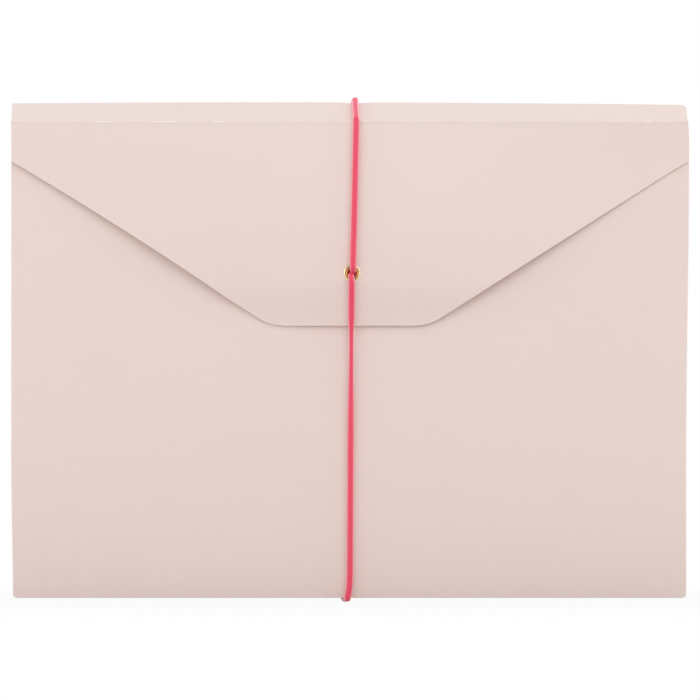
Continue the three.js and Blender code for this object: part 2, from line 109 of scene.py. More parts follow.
camera = put("camera", bpy.data.cameras.new("camera"))
camera.data.sensor_width = SENSOR
camera.data.lens = SENSOR * CAMERA_DISTANCE / PICTURE_WIDTH
camera.data.clip_end = SIGHT_END
front_of_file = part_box("flap")[0].y
camera.location = (PICTURE_MIDDLE[0], front_of_file - CAMERA_DISTANCE, PICTURE_MIDDLE[1])
camera.rotation_euler = (math.pi / 2, 0, 0)
scene.camera = camera
scene.view_settings.view_transform = "Standard"
print("lens:", round(camera.data.lens), "mm")

# %% [markdown]
# ## Node trees written as sums
#
# Materials and Geometry Nodes are both node trees. Wiring adds one node at a time and hands back an
# output. Value wraps that output and gives it Python's operators, so that a formula reads as one
# and each operator adds its Math node.


# %% A helper for node trees
class Value:
    """An output of a node, which can take part in sums."""

    def __init__(self, wiring, socket):
        self.wiring = wiring
        self.socket = socket

    def maths(self, operation, *terms):
        return self.wiring.add("ShaderNodeMath", {"operation": operation}, dict(enumerate(terms)))

    def __add__(self, other):
        return self.maths("ADD", self, other)

    def __radd__(self, other):
        return self.maths("ADD", other, self)

    def __sub__(self, other):
        return self.maths("SUBTRACT", self, other)

    def __rsub__(self, other):
        return self.maths("SUBTRACT", other, self)

    def __mul__(self, other):
        return self.maths("MULTIPLY", self, other)

    def __rmul__(self, other):
        return self.maths("MULTIPLY", other, self)

    def __truediv__(self, other):
        return self.maths("DIVIDE", self, other)

    def __pow__(self, other):
        return self.maths("POWER", self, other)

    def __abs__(self):
        return self.maths("ABSOLUTE", self)

    def sine(self):
        return self.maths("SINE", self)

    def at_least(self, other):
        return self.maths("MAXIMUM", self, other)

    def at_most(self, other):
        return self.maths("MINIMUM", self, other)

    def clamped(self):
        """The value, held between 0 and 1."""
        return self.at_least(0).at_most(1)

    def ramp(self, gain, shift):
        """The value times a gain, shifted, and held between 0 and 1."""
        return (self * gain + shift).clamped()


class Wiring:
    """A node tree that is being filled."""

    def __init__(self, tree):
        self.tree = tree

    def join(self, place, value):
        """Links a value to a socket, or sets the socket to a plain value."""
        if isinstance(value, Value):
            self.tree.links.new(value.socket, place)
        else:
            place.default_value = value

    def add(self, kind, settings=None, inputs=None, output=0):
        """One new node: its settings first, then its sockets; gives back one of its outputs."""
        node = self.tree.nodes.new(kind)
        for name, value in (settings or {}).items():
            setattr(node, name, value)
        for place, value in (inputs or {}).items():
            self.join(node.inputs[place], value)
        return Value(self, node.outputs[output])

    def noise(self, vector, scale, detail=2.0):
        inputs = {"Vector": vector, "Scale": scale, "Detail": detail}
        return self.add("ShaderNodeTexNoise", None, inputs)

    def mix_colours(self, factor, first, second):
        inputs = {0: factor, 6: first, 7: second}
        return self.add("ShaderNodeMix", {"data_type": "RGBA"}, inputs, output=2)

    def bump(self, strength, distance, height):
        inputs = {"Strength": strength, "Distance": distance, "Height": height}
        return self.add("ShaderNodeBump", None, inputs)

    def object_place(self):
        """Where a point lies in its object."""
        return self.add("ShaderNodeTexCoord", output="Object")

    def part(self, vector, axis):
        """The X, Y or Z of a vector."""
        return self.add("ShaderNodeSeparateXYZ", None, {0: vector}, output=axis)

    def length(self, vector):
        return self.add("ShaderNodeVectorMath", {"operation": "LENGTH"}, {0: vector}, output="Value")


# %% [markdown]
# ## Light, floor and background
#
# The scene has a plain white background and soft studio light from the upper right. White comes
# from what the camera sees of the world, not from strong lamps: Light Path tells a camera ray, or a
# mirror's or a glass's ray, from a ray that gathers light, so the world can be white to look at and
# dimmer as a light. What a glossy surface mirrors is white behind the file, dark in front of it, and
# very bright at both sides, like the light panels of a real studio. They give the polished brass its
# bright lines and add to the pale lines on the cord's flanks and the cut edges, which are mostly
# painted highlights. The key lamp is large, for soft shadows, and stands to the right.

# %% World
AMBIENT = 0.835
STUDIO_DARK = 0.30
SIDE_PANELS = 1.4
WALL_RAMP = (2, 0.6)
SIDE_RAMP = (3, -1.1)
AMBIENT_COLOUR = (1.0, 0.965, 0.955, 1)
WHITE = (1, 1, 1, 1)


def ray_is(wiring, kind):
    """1 for a ray of one kind, otherwise 0."""
    return wiring.add("ShaderNodeLightPath", output=f"Is {kind} Ray")


scene.world = bpy.data.worlds.new("studio")
scene.world.use_nodes = True
studio = Wiring(scene.world.node_tree)
background = scene.world.node_tree.nodes["Background"]
way = studio.add("ShaderNodeTexCoord", output="Generated")
beside = abs(studio.part(way, "X"))
behind = studio.part(way, "Y")
wall = STUDIO_DARK + (1 - STUDIO_DARK) * behind.ramp(*WALL_RAMP)
mirrored = wall.at_least(SIDE_PANELS * beside.ramp(*SIDE_RAMP))
shiny = ray_is(studio, "Glossy").at_least(ray_is(studio, "Transmission"))
seen = ray_is(studio, "Camera")
looked_at = seen.at_least(shiny)
strength = AMBIENT * (1 - looked_at) + seen + (1 - seen) * shiny * mirrored
studio.join(background.inputs["Color"], studio.mix_colours(looked_at, AMBIENT_COLOUR, WHITE))
studio.join(background.inputs["Strength"], strength)
print("world: ambient", AMBIENT)


# %% Lamps
def lamp(name, place, size, watts, colour):
    """A square area lamp that faces the middle of the file."""
    light = bpy.data.lights.new(name, "AREA")
    light.size = size
    light.energy = watts
    light.color = colour
    holder = put(name, light)
    holder.location = place
    middle = Vector((0, 0, PICTURE_MIDDLE[1]))
    holder.rotation_euler = (middle - holder.location).to_track_quat("-Z", "Y").to_euler()


lamp("key", (0.95, -1.95, 1.45), 2.1, 15.5, (0.97, 0.985, 1.0))
lamp("fill", (-1.2, -1.3, 0.10), 1.3, 7.0, (1.0, 0.98, 0.97))
lamp("left", (-1.7, -0.22, 0.35), 0.9, 2, (1.0, 0.98, 0.97))
lamp("right", (1.7, -0.22, 0.35), 0.9, 2, (1.0, 0.98, 0.97))
lamp("rear", (0.9, 2.4, 0.6), 1.4, 8, (1.0, 0.99, 0.98))

# %% [markdown]
# The floor is a disc that lies where the cord touches it. To the camera it is almost as white as the
# world, and quite so further out, where the two have to meet. As a thing that light falls on it is
# grey, so that the file gets little light from below.

# %% Floor
CORD_BELOW = 0.0019
FLOOR_RADIUS = 1.6
FLOOR_CORNERS = 96
FLOOR_COLOUR = (0.55, 0.54, 0.535, 1)
FLOOR_GLOW_NEAR = 0.93
FLOOR_FADE = (0.25, 0.9)


def new_mesh(name, points, edges=(), faces=()):
    """A mesh from plain lists."""
    mesh = bpy.data.meshes.new(name)
    mesh.from_pydata(points, edges, faces)
    return mesh


turns = [2 * math.pi * i / FLOOR_CORNERS for i in range(FLOOR_CORNERS)]
rim = [(FLOOR_RADIUS * math.cos(a), FLOOR_RADIUS * math.sin(a), -CORD_BELOW) for a in turns]
floor_mesh = new_mesh("floor", rim, faces=[range(FLOOR_CORNERS)])
floor = put("floor", floor_mesh)
floor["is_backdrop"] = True

floor_material = bpy.data.materials.new("studio_floor")
floor_material.use_nodes = True
paint = Wiring(floor_material.node_tree)
floor_material.node_tree.nodes.remove(floor_material.node_tree.nodes["Principled BSDF"])
far = paint.length(paint.object_place())
fade = ((far - FLOOR_FADE[0]) / (FLOOR_FADE[1] - FLOOR_FADE[0])).clamped()
caught = ray_is(paint, "Camera").at_least(ray_is(paint, "Glossy"))
caught = caught.at_least(ray_is(paint, "Transmission"))
glow = caught * (FLOOR_GLOW_NEAR + (1 - FLOOR_GLOW_NEAR) * fade)
matte = paint.add("ShaderNodeBsdfDiffuse", None, {"Color": FLOOR_COLOUR})
lit = paint.add("ShaderNodeEmission", None, {"Color": WHITE, "Strength": 1.0})
both = paint.add("ShaderNodeMixShader", None, {0: glow, 1: matte, 2: lit})
paint.join(floor_material.node_tree.nodes["Material Output"].inputs["Surface"], both)
floor_mesh.materials.append(floor_material)
print("floor at", -CORD_BELOW)

# %% [markdown]
# ## Sizes that the pieces share
#
# The model's boxes give the sheets, the creases and the eyelet, so nothing here can drift away from
# it. Two curves are written out again, because a box can't tell them: the bulge of the front cover
# and the side view of the flap. Each is a Bezier curve, looked up by height. The eyelet and its knot
# hold the flap off the cover, so its depth depends on x too: it settles on the cover towards its
# right side, and only about half-way on the left, where it stands off.

# %% Sizes from the model
half_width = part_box("back_cover")[1].x
inner_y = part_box("back_cover")[0].y
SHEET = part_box("back_cover")[1].y - inner_y
back_middle_y = inner_y + SHEET / 2
front_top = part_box("front_cover")[1].z
flap_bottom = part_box("flap")[0].z
flap_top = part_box("flap")[1].z
panel_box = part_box("top_panel")
front_crease = Vector((0, panel_box[0].y + SHEET / 2, panel_box[0].z + SHEET / 2))
rear_crease = Vector((0, panel_box[1].y - SHEET / 2, panel_box[1].z - SHEET / 2))
eyelet_middle = (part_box("eyelet")[0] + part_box("eyelet")[1]) / 2
eyelet_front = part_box("eyelet")[0].y
washer_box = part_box("eyelet_washer")
file_height = rear_crease.z + SHEET / 2
print("creases:", [round(1000 * c, 2) for c in (*front_crease.yz, *rear_crease.yz)])

# %% Two curves
STACK_DEPTH = 0.0289
BULGE = ((0, 0), (0.010, 0.034), (0.0012, 0.119), (0, front_top))
SEAT_GAP = 0.00005
FLAP_SEAT = washer_box[0].y - SEAT_GAP - SHEET / 2
FLAP_SEAT_HALF = 0.006
FLAP_TIP_RETURN = 0.00085


def bezier(points, steps=200):
    """Points on a Bezier curve of any degree, one row each."""
    t = np.linspace(0, 1, steps)[:, None]
    degree = len(points) - 1
    terms = [math.comb(degree, i) * t**i * (1 - t) ** (degree - i) * np.array(p)
             for i, p in enumerate(points)]
    return sum(terms)


bulge_curve = bezier(BULGE)


def bulge(z):
    """How far the front cover bulges at a height."""
    return float(np.interp(z, bulge_curve[:, 1], bulge_curve[:, 0]))


def cover_face(z):
    """Depth of the front cover's outer face."""
    return inner_y - STACK_DEPTH - SHEET - bulge(z)


def flap_curve():
    """The flap's middle line from its crease to its tip, seen from the side."""
    seat_top = eyelet_middle.z + FLAP_SEAT_HALF
    seat_bottom = eyelet_middle.z - FLAP_SEAT_HALF
    rise = flap_top - seat_top
    lean = bezier((
        (front_crease.y, flap_top),
        ((front_crease.y + FLAP_SEAT) / 2, flap_top - rise / 3),
        (FLAP_SEAT, seat_top + rise / 3),
        (FLAP_SEAT, seat_top),
    ))
    curl = bezier((
        (FLAP_SEAT, seat_bottom),
        (FLAP_SEAT, (seat_bottom + flap_bottom) / 2),
        (FLAP_SEAT + FLAP_TIP_RETURN, flap_bottom),
    ))
    return np.vstack([lean, curl])[::-1]


flap_line = flap_curve()
FLAP_REST = cover_face(front_top) - front_crease.y - SHEET / 2
LIFTED_LEFT = (0.075, 0.165)
SETTLED_LEFT = 0.55
LEFT_SAG = 0.0016
LEFT_SAG_ACROSS = (0.010, 0.060)
LEFT_SAG_DOWN = (0, 0.04)
LIFTED_RIGHT = (0.045, 0.155)
SETTLED_RIGHT = 0.95
REST_RIGHT = 0.00045
REST_RIGHT_FROM = 0.020
TIP_PULL = 0.0021
TIP_PULL_FROM = 0.022


def clamp(value):
    """A plain number, held between 0 and 1."""
    return min(1.0, max(0.0, value))


def smooth_step(value, low, high):
    """0 below low, 1 above high, and a soft rise between them."""
    share = clamp((value - low) / (high - low))
    return share * share * (3 - 2 * share)


def flap_middle(x, z):
    """Depth of the flap's middle: lifted at the eyelet and left of it, elsewhere near the cover."""
    lifted = float(np.interp(z, flap_line[:, 1], flap_line[:, 0]))
    lifted += TIP_PULL * (1 - smooth_step(z, flap_bottom, flap_bottom + TIP_PULL_FROM))
    across = smooth_step(eyelet_middle.x - x, *LEFT_SAG_ACROSS)
    lifted += LEFT_SAG * across * smooth_step(flap_top - z, *LEFT_SAG_DOWN)
    if x > eyelet_middle.x:
        rest = FLAP_REST + (REST_RIGHT - FLAP_REST) * smooth_step(flap_top - z, 0, REST_RIGHT_FROM)
        beside = SETTLED_RIGHT * smooth_step(x - eyelet_middle.x, *LIFTED_RIGHT)
    else:
        rest = FLAP_REST
        beside = SETTLED_LEFT * smooth_step(eyelet_middle.x - x, *LIFTED_LEFT)
    settled = cover_face(z) - rest - SHEET / 2
    return lifted + (settled - lifted) * beside


def flap_face(x, z):
    """Depth of the flap's outer face."""
    return flap_middle(x, z) - SHEET / 2


print("bulge:", round(1000 * max(bulge_curve[:, 0]), 2), "mm")

# %% [markdown]
# ## Matte polypropylene
#
# The sheets are extruded polypropylene with a fine embossed grain. It is nearly one colour, so a
# flat colour is tempting, but a real sheet is a little cloudy, and the grain breaks up its shine.
# One function makes the family: covers, thinner dividers and the softer film of the pleats. Light
# goes a little way into the plastic, which Subsurface gives, and some comes right through, which
# Cycles loses between the two faces of a thin sheet. A trace of Emission is painted light in its
# place: it makes the shadows pinkish and keeps the insides of the pockets from going black. On the
# cut edges the glow is stronger, a painted highlight, and the edges look pale.


# %% Plastic
CLOUD_SCALE = 17.0
FLECK_SCALE = 260.0
LEATHER_SCALE = 1500.0
LEATHER_DEPTH = 0.0001


def new_material(name, surface):
    """A material with one Principled shader, whose plain values are set on its own sockets."""
    made = bpy.data.materials.new(name)
    made.use_nodes = True
    shader = made.node_tree.nodes["Principled BSDF"]
    for socket, value in surface.items():
        shader.inputs[socket].default_value = value
    return made, Wiring(made.node_tree), shader


def plastic(name, colour, haze, roughness, grain=0.12):
    """Matte sheet: a tint, a cloudy haze, and a grain in the roughness and the relief."""
    surface = {
        "Subsurface Weight": 0.12,
        "Subsurface Radius": (0.0016, 0.0007, 0.0006),
        "Subsurface Scale": 1.0,
        "Specular IOR Level": 0.30,
    }
    made, wiring, shader = new_material(name, surface)
    where = wiring.object_place()
    cloud = wiring.noise(where, CLOUD_SCALE, 3.0)
    fleck = wiring.noise(where, FLECK_SCALE)
    mottle = (cloud * 0.7 + fleck * 0.3).at_most(1)
    wiring.join(shader.inputs["Base Color"], wiring.mix_colours(mottle, colour, haze))
    leather = wiring.noise(where, LEATHER_SCALE)
    wiring.join(shader.inputs["Roughness"], roughness + 0.14 * (leather - 0.5) + 0.06 * (cloud - 0.5))
    wiring.join(shader.inputs["Normal"], wiring.bump(grain, LEATHER_DEPTH, leather))
    return made


# GLOW is painted light: Emission on the sheets lifts their shadows, and on the cut edges it is a painted
# highlight, strongest on the flap's edge.
GLOW = {"cover": 0.045, "film": 0.06, "cut_edge": 0.04, "flap_edge": 0.40}
DEEP_GLOW = (1.0, 0.60, 0.52, 1)
EDGE_GLOW = (1.0, 0.82, 0.78, 1)

cover_plastic = plastic("matte_cover", (0.788, 0.690, 0.652, 1), (0.763, 0.658, 0.618, 1), 0.50)
divider_plastic = plastic("matte_divider", (0.790, 0.690, 0.652, 1), (0.760, 0.650, 0.610, 1), 0.54)
pleat_plastic = plastic("soft_pleat", (0.745, 0.622, 0.580, 1), (0.705, 0.580, 0.538, 1), 0.46)
edges = {}
# The cut edges are paler than the sheet: a painted highlight, which makes each a thin light line.
for name in ("cut_edge", "flap_edge"):
    edges[name] = plastic(name, (0.870, 0.775, 0.745, 1), (0.835, 0.735, 0.705, 1), 0.40)


def let_glow(material, tint, strength):
    """Painted light as Emission: the light come through the plastic, and a cut edge's pale line."""
    shader = material.node_tree.nodes["Principled BSDF"]
    shader.inputs["Emission Color"].default_value = tint
    shader.inputs["Emission Strength"].default_value = strength


let_glow(cover_plastic, DEEP_GLOW, GLOW["cover"])
let_glow(divider_plastic, DEEP_GLOW, GLOW["film"])
let_glow(pleat_plastic, DEEP_GLOW, GLOW["film"])
for name, material in edges.items():
    let_glow(material, EDGE_GLOW, GLOW[name])

# %% [markdown]
# The flap stands off the cover, and its cut edge carries a painted highlight: a strong Emission that
# makes it a pale line. A noise along the edge breaks the line into patches, choosing between a dull
# glow and the full one.

# %% The flap's edge shines unevenly
DULL_EDGE_HIGHLIGHT = (0.60, 0.48, 0.45, 1)
PATCH_SCALE = 95.0
PATCH_RAMP = (5, -2.2)

cut = Wiring(edges["flap_edge"].node_tree)
bright = cut.noise(cut.object_place(), PATCH_SCALE, 3.0).ramp(*PATCH_RAMP)
flap_edge_shader = edges["flap_edge"].node_tree.nodes["Principled BSDF"]
# The painted highlight along the flap's edge, in dull and full patches.
cut.join(flap_edge_shader.inputs["Emission Color"], cut.mix_colours(bright, DULL_EDGE_HIGHLIGHT, EDGE_GLOW))
print("flap edge glows with strength", GLOW["flap_edge"])

# %% [markdown]
# A crease is the same plastic pressed flat and bent. It has a few short glints: patches with a lower
# roughness, which is real polish, and a paler colour, which is a painted highlight. Each patch is a
# span of x, and 1 minus the distance from its middle, in half lengths, is a mask that fades towards
# both ends.

# %% Crease
GLINTS = ((-0.1206, 0.0055), (-0.0900, 0.0110), (-0.0640, 0.0040), (0.1457, 0.0030), (0.1562, 0.0022))
GLINT_GRAIN = 900.0
CREASE_COLOUR = (0.775, 0.660, 0.620, 1)
PAINTED_GLINT_COLOUR = (0.90, 0.83, 0.80, 1)

crease_plastic, press, pressed = new_material("crease_plastic", {"Specular IOR Level": 0.5})
spot = press.object_place()
spot_x = press.part(spot, "X")
shine = 0
for glint_middle, half_length in GLINTS:
    shine = shine + (1 - abs(spot_x - glint_middle) / half_length).at_least(0)
shine = (shine * 2).at_most(1) * (press.noise(spot, GLINT_GRAIN) * 1.4).at_most(1)
# The glints' paler colour is a painted highlight; their lower roughness is polish.
press.join(pressed.inputs["Base Color"], press.mix_colours(shine, CREASE_COLOUR, PAINTED_GLINT_COLOUR))
press.join(pressed.inputs["Roughness"], 0.50 - 0.24 * shine)
let_glow(crease_plastic, DEEP_GLOW, GLOW["cover"])
print("plastics:", [m.name for m in bpy.data.materials])

# %% [markdown]
# ## The covers and the flap
#
# Each is a flat sheet, die-cut and then bent. A box would have neither the bulge nor the rounded cut
# edge, and an n-gon can't bend. So each is a grid that follows its outline row by row, laid on its
# curve. Solidify gives it the thickness, and Bevel rounds the cut edge, whose paler colour and glow
# are a painted highlight, a thin light line. A slow, shallow wave keeps the light from lying dead
# flat on it.

# %% Grid of a sheet
EDGE_ROUND = 0.00038
EDGE_ANGLE = 50
LEAST_ROW = 0.00015
WAVE_HEIGHT = 0.00022
WAVE_LENGTH = 0.085


def wave(x, z, seed):
    """The slow unevenness of a large plastic sheet."""
    return WAVE_HEIGHT * noise.noise(Vector((x / WAVE_LENGTH, z / WAVE_LENGTH, seed)))


def add_piece(name, mesh, *materials):
    """A finished mesh as an object of the scene."""
    mesh.materials.clear()
    for material in materials:
        mesh.materials.append(material)
    mesh.shade_smooth()
    return put(name, mesh)


def grid_mesh(name, rows):
    """A mesh of square faces through rows of points of equal number."""
    count = len(rows[0])
    points = [p for row in rows for p in row]
    faces = [(r * count + c, r * count + c + 1, (r + 1) * count + c + 1, (r + 1) * count + c)
             for r in range(len(rows) - 1) for c in range(count - 1)]
    return new_mesh(name, points, faces=faces)


def solidify(piece, thickness, offset=0):
    """Gives a skin its thickness: on both sides, or with an offset of 1 or -1 on one side."""
    wall = piece.modifiers.new("thickness", "SOLIDIFY")
    wall.thickness = thickness
    wall.offset = offset
    return wall


def thicken(piece, thickness, rounding):
    """Gives a skin its thickness on both sides and rounds its cut edge."""
    wall = solidify(piece, thickness)
    wall.use_even_offset = True
    wall.material_offset_rim = 1
    edge = piece.modifiers.new("cut_edge", "BEVEL")
    edge.width = rounding
    edge.segments = 2
    edge.limit_method = "ANGLE"
    edge.angle_limit = math.radians(EDGE_ANGLE)
    edge.harden_normals = True
    edge.material = 1


def columns(middle, reach, fine, coarse):
    """Shares from 0 to 1 for a sheet's columns, set closer around one place."""
    count = round(2 * reach / fine)
    close = [middle - reach + 2 * reach * i / count for i in range(count + 1)]
    span = 1 - close[-1]
    before = round(close[0] / coarse)
    after = round(span / coarse)
    left = [close[0] * i / before for i in range(before)]
    right = [close[-1] + span * (i + 1) / after for i in range(after)]
    return left + close + right


def heights(low, high, step, close=()):
    """Rows from low to high, with rows a fine step apart inside each close range."""
    rows = set(np.linspace(low, high, round((high - low) / step) + 1).round(7))
    for start, end, fine in close:
        rows |= set(np.linspace(start, end, round((end - start) / fine) + 1).round(7))
    ordered = sorted(rows)
    kept = [ordered[0]]
    for row in ordered[1:]:
        if row - kept[-1] > LEAST_ROW:
            kept.append(row)
    kept[-1] = high
    return kept


def corner_inset(z, end, radius):
    """How far a rounded corner draws the side in at a height near one end of the sheet."""
    away = radius - abs(z - end)
    return radius - math.sqrt(radius**2 - away**2) if away > 0 else 0.0


# %% [markdown]
# A drawn sheet is straight, and a real one isn't. In the picture the right side leans in towards the
# foot and a little at the top, and the rear crease is bowed, with a dent where the cord holds it
# down. Both are rules of place, so every sheet that meets that side or that crease follows them.

# %% How the sheets differ from their drawing
RIGHT_FOOT = -0.00065
RIGHT_LEAN = 0.00145
RIGHT_LEAN_HEIGHTS = (0.07, 0.215)
RIGHT_TOP = -0.0009
RIGHT_TOP_HEIGHTS = (0.222, 0.242)
BOW_RISE = 0.0005
BOW_MIDDLE = -0.035
BOW_HALF = 0.125
BOW_FADE = 0.05
DENT_X = 0.0026
DENT_HALF = 0.006


def right_side(z):
    """How far the right side stands out at a height: it leans in to the foot and a little at the top."""
    leaning = RIGHT_LEAN * smooth_step(z, *RIGHT_LEAN_HEIGHTS)
    return RIGHT_FOOT + leaning + RIGHT_TOP * smooth_step(z, *RIGHT_TOP_HEIGHTS)


def rear_bow(x):
    """How much higher than straight the rear crease lies. The cord holds it down in a small dent."""
    bow = BOW_RISE * (1 - ((x - BOW_MIDDLE) / BOW_HALF) ** 2)
    return bow * (1 - math.exp(-((x - DENT_X) / DENT_HALF) ** 2))


print("right side at the foot:", round(1000 * right_side(0), 2), "mm")

# %% [markdown]
# The covers are nearly plain: square or rounded corners, sides that draw in a little at the foot, and
# a small nick where the tight cord has bitten into the lower edge. The rows and columns lie closer
# together there and at the corners, and coarser where the sheet is flat.

# %% Back cover and front cover
COVER_CORNER = 0.002
PANEL_CORNER = (0.0017, 0.006)
FRONT_TOP_CORNER = 0.005
SIDE_DRAW = 0.0008
SIDE_DRAW_FROM = 0.070
NICK_DEPTH = 0.0011
NICK_HALF = 0.0016
NICK_FADE = 0.007
FRONT_FOOT_X = -0.0009
REAR_FOOT_X = 0.0006
COVER_ROW = 0.0035
FINE_ROW = 0.0005
COVER_COLUMNS = (0.012, 0.0011, 0.0125)
CALM = 0.03


def cover(name, top, top_corners, middle_depth, nick_x, seed, bow=0):
    """A cover: its sides draw in at the foot, the cord has bitten into its edge, its top may bow."""
    rows = []
    fine_rows = [(0, NICK_FADE, FINE_ROW), (top - max(top_corners), top, FINE_ROW)]
    for z in heights(0, top, COVER_ROW, fine_rows):
        middle = half_width - corner_inset(z, 0, COVER_CORNER)
        left = middle - corner_inset(z, top, top_corners[0])
        left -= SIDE_DRAW * (1 - smooth_step(z, 0, SIDE_DRAW_FROM))
        right = middle - corner_inset(z, top, top_corners[1]) + right_side(z)
        row = []
        for share in columns(0.5 + nick_x / (2 * half_width), *COVER_COLUMNS):
            x = (left + right) * share - left
            bite = NICK_DEPTH * math.exp(-((x - nick_x) / NICK_HALF) ** 4) * max(0, 1 - z / NICK_FADE)
            calm = smooth_step(z, 0, CALM) * smooth_step(top - z, 0, CALM)
            raised = bow * rear_bow(x) * smooth_step(z, top - BOW_FADE, top)
            row.append((x, middle_depth(z) + calm * wave(x, z, seed), z + bite + raised))
        rows.append(row)
    piece = add_piece(name, grid_mesh(name, rows), cover_plastic, edges["cut_edge"])
    thicken(piece, SHEET, EDGE_ROUND)
    return piece


back_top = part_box("back_cover")[1].z
back_sheet = cover(
    "back_cover_sheet", back_top, (0, PANEL_CORNER[0]),
    lambda z: back_middle_y, REAR_FOOT_X, 3.1, bow=1,
)
front_sheet = cover(
    "front_cover_sheet", front_top, (FRONT_TOP_CORNER, FRONT_TOP_CORNER),
    lambda z: cover_face(z) + SHEET / 2, FRONT_FOOT_X, 7.7,
)
for sheet, node, body in ((back_sheet, "back_cover", "back"), (front_sheet, "front_cover", "front")):
    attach(sheet, body)
    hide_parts(node)
print("covers:", len(back_sheet.data.polygons), len(front_sheet.data.polygons), "faces")

# %% [markdown]
# The flap is the envelope end of the sheet: straight down its two short sides, then in along two
# long diagonals to a blunt tip with rounded corners. The outline is a rule of height, so the rows
# end on it. Its left diagonal is drawn in a little, where the sheet curls. The faces inside the
# eyelet are taken out, and the hole's edge is drawn on to a circle.

# %% Flap
FLAP_SIDE_Z = file_height - 0.0283
TIP_HALF = 0.0384
TIP_RADIUS = 0.0225
LEFT_BOW = 0.0020
LEFT_BOW_SHARE = 0.84
HOLE_RADIUS = 0.003
HOLE_BAND = 0.0052
FLAP_ROW = 0.0028
FLAP_COLUMNS = (0.034, 0.0036, 0.0125)
RIGHT_SIDE_FROM = 0.155
CALM_EYELET = (0.004, 0.03)
CALM_CREASE = (0, 0.02)

diagonal = math.atan2(FLAP_SIDE_Z - flap_bottom, half_width - TIP_HALF)
tip_flat = TIP_HALF - TIP_RADIUS * math.tan(diagonal / 2)
tip_round_top = flap_bottom + TIP_RADIUS * (1 - math.cos(diagonal))


def flap_half(z):
    """Half the flap's width at a height."""
    if z <= tip_round_top:
        return tip_flat + math.sqrt(TIP_RADIUS**2 - (TIP_RADIUS - (z - flap_bottom)) ** 2)
    return min(half_width, TIP_HALF + (z - flap_bottom) / math.tan(diagonal))


def left_bow(half):
    """How far the left diagonal is drawn in, where the flap curls a little."""
    share = (half_width - half) / (half_width - TIP_HALF) / LEFT_BOW_SHARE
    return LEFT_BOW * max(0, 4 * share * (1 - share))


def flap_rows():
    """The flap's rows of points, closer together at the tip, at the eyelet and at the side corners."""
    middle = eyelet_middle.z
    close = [
        (flap_bottom, tip_round_top, 0.00035),
        (middle - HOLE_BAND, middle + HOLE_BAND, 0.00055),
        (FLAP_SIDE_Z - 0.001, FLAP_SIDE_Z, 0.001),
    ]
    shares = columns(0.5 + eyelet_middle.x / (2 * flap_half(middle)), *FLAP_COLUMNS)
    rows = []
    for z in heights(flap_bottom, flap_top, FLAP_ROW, close):
        half = flap_half(z)
        right = half + right_side(z) * smooth_step(half, RIGHT_SIDE_FROM, half_width)
        left = half - left_bow(half)
        calm = smooth_step(abs(z - middle), *CALM_EYELET) * smooth_step(flap_top - z, *CALM_CREASE)
        row = []
        for share in shares:
            x = (left + right) * share - left
            row.append((x, flap_middle(x, z) + calm * wave(x, z, 1.9), z))
        rows.append(row)
    return rows


def open_hole(mesh, middle, radius):
    """Takes out the faces inside a circle and draws the hole's edge on to it."""
    shape = bmesh.new()
    shape.from_mesh(mesh)
    inside = [v for v in shape.verts if math.hypot(v.co.x - middle.x, v.co.z - middle.z) < radius]
    bmesh.ops.delete(shape, geom=inside, context="VERTS")
    for vertex in shape.verts:
        arm = Vector((vertex.co.x - middle.x, 0, vertex.co.z - middle.z))
        if vertex.is_boundary and arm.length < 2 * radius:
            vertex.co += arm.normalized() * (radius - arm.length)
    shape.to_mesh(mesh)
    shape.free()


flap_mesh = grid_mesh("flap_sheet", flap_rows())
open_hole(flap_mesh, eyelet_middle, HOLE_RADIUS)
flap_sheet = add_piece("flap_sheet", flap_mesh, cover_plastic, edges["flap_edge"])
thicken(flap_sheet, SHEET, EDGE_ROUND)
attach(flap_sheet, "flap")
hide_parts("flap")
print("flap:", len(flap_sheet.data.polygons), "faces, diagonal", round(math.degrees(diagonal), 1))

# %% [markdown]
# The panel over the pockets lies between the two creases. It is ruled: each row is a share of the way
# from the front crease, which is straight, to the rear crease, which is bowed. Its ends reach half a
# sheet past the folds and are rounded there, so that a fold stays closed when it opens.

# %% Top panel
PANEL_ROWS = 9
PANEL_COLUMNS = (0.035, 0.005, 0.02)
PANEL_EDGE_ROUND = 0.00042
FOLD_GAP = 0.00002

panel_run = rear_crease - front_crease


def panel_rows():
    """Rows from the front crease to the rear one. The last ones follow the rounded corner."""
    over = (SHEET / 2 - FOLD_GAP) / panel_run.length
    corner = PANEL_CORNER[1] / panel_run.length
    straight = np.linspace(0, 1 - corner, PANEL_ROWS)
    shares = [-over, *straight, *np.linspace(1 - corner, 1, PANEL_ROWS)[1:], 1 + over]
    rows = []
    for share in shares:
        place = front_crease + panel_run * float(share)
        turned = clamp(1 - (1 - share) / corner)
        right = half_width + right_side(place.z) - PANEL_CORNER[0] * (1 - math.sqrt(1 - turned**2))
        row = []
        for part in columns(0.5 + DENT_X / (2 * half_width), *PANEL_COLUMNS):
            x = (half_width + right) * part - half_width
            row.append((x, place.y, place.z + rear_bow(x) * clamp(share)))
        rows.append(row)
    return rows


panel_sheet = add_piece("top_panel_sheet", grid_mesh("top_panel_sheet", panel_rows()),
                        cover_plastic, edges["cut_edge"])
thicken(panel_sheet, SHEET, PANEL_EDGE_ROUND)
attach(panel_sheet, "panel")
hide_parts("top_panel")
print("panel:", round(1000 * panel_run.length, 1), "mm from crease to crease")

# %% [markdown]
# The dividers are plain flat sheets with rounded corners and an index tab. Their model shapes are
# right as they are, so they only get a finish.

# %% Dividers
DIVIDERS = sorted(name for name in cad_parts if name.startswith("divider_"))
for name in DIVIDERS:
    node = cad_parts[name]
    node.data.materials.clear()
    node.data.materials.append(divider_plastic)
print("kept as modelled:", DIVIDERS)

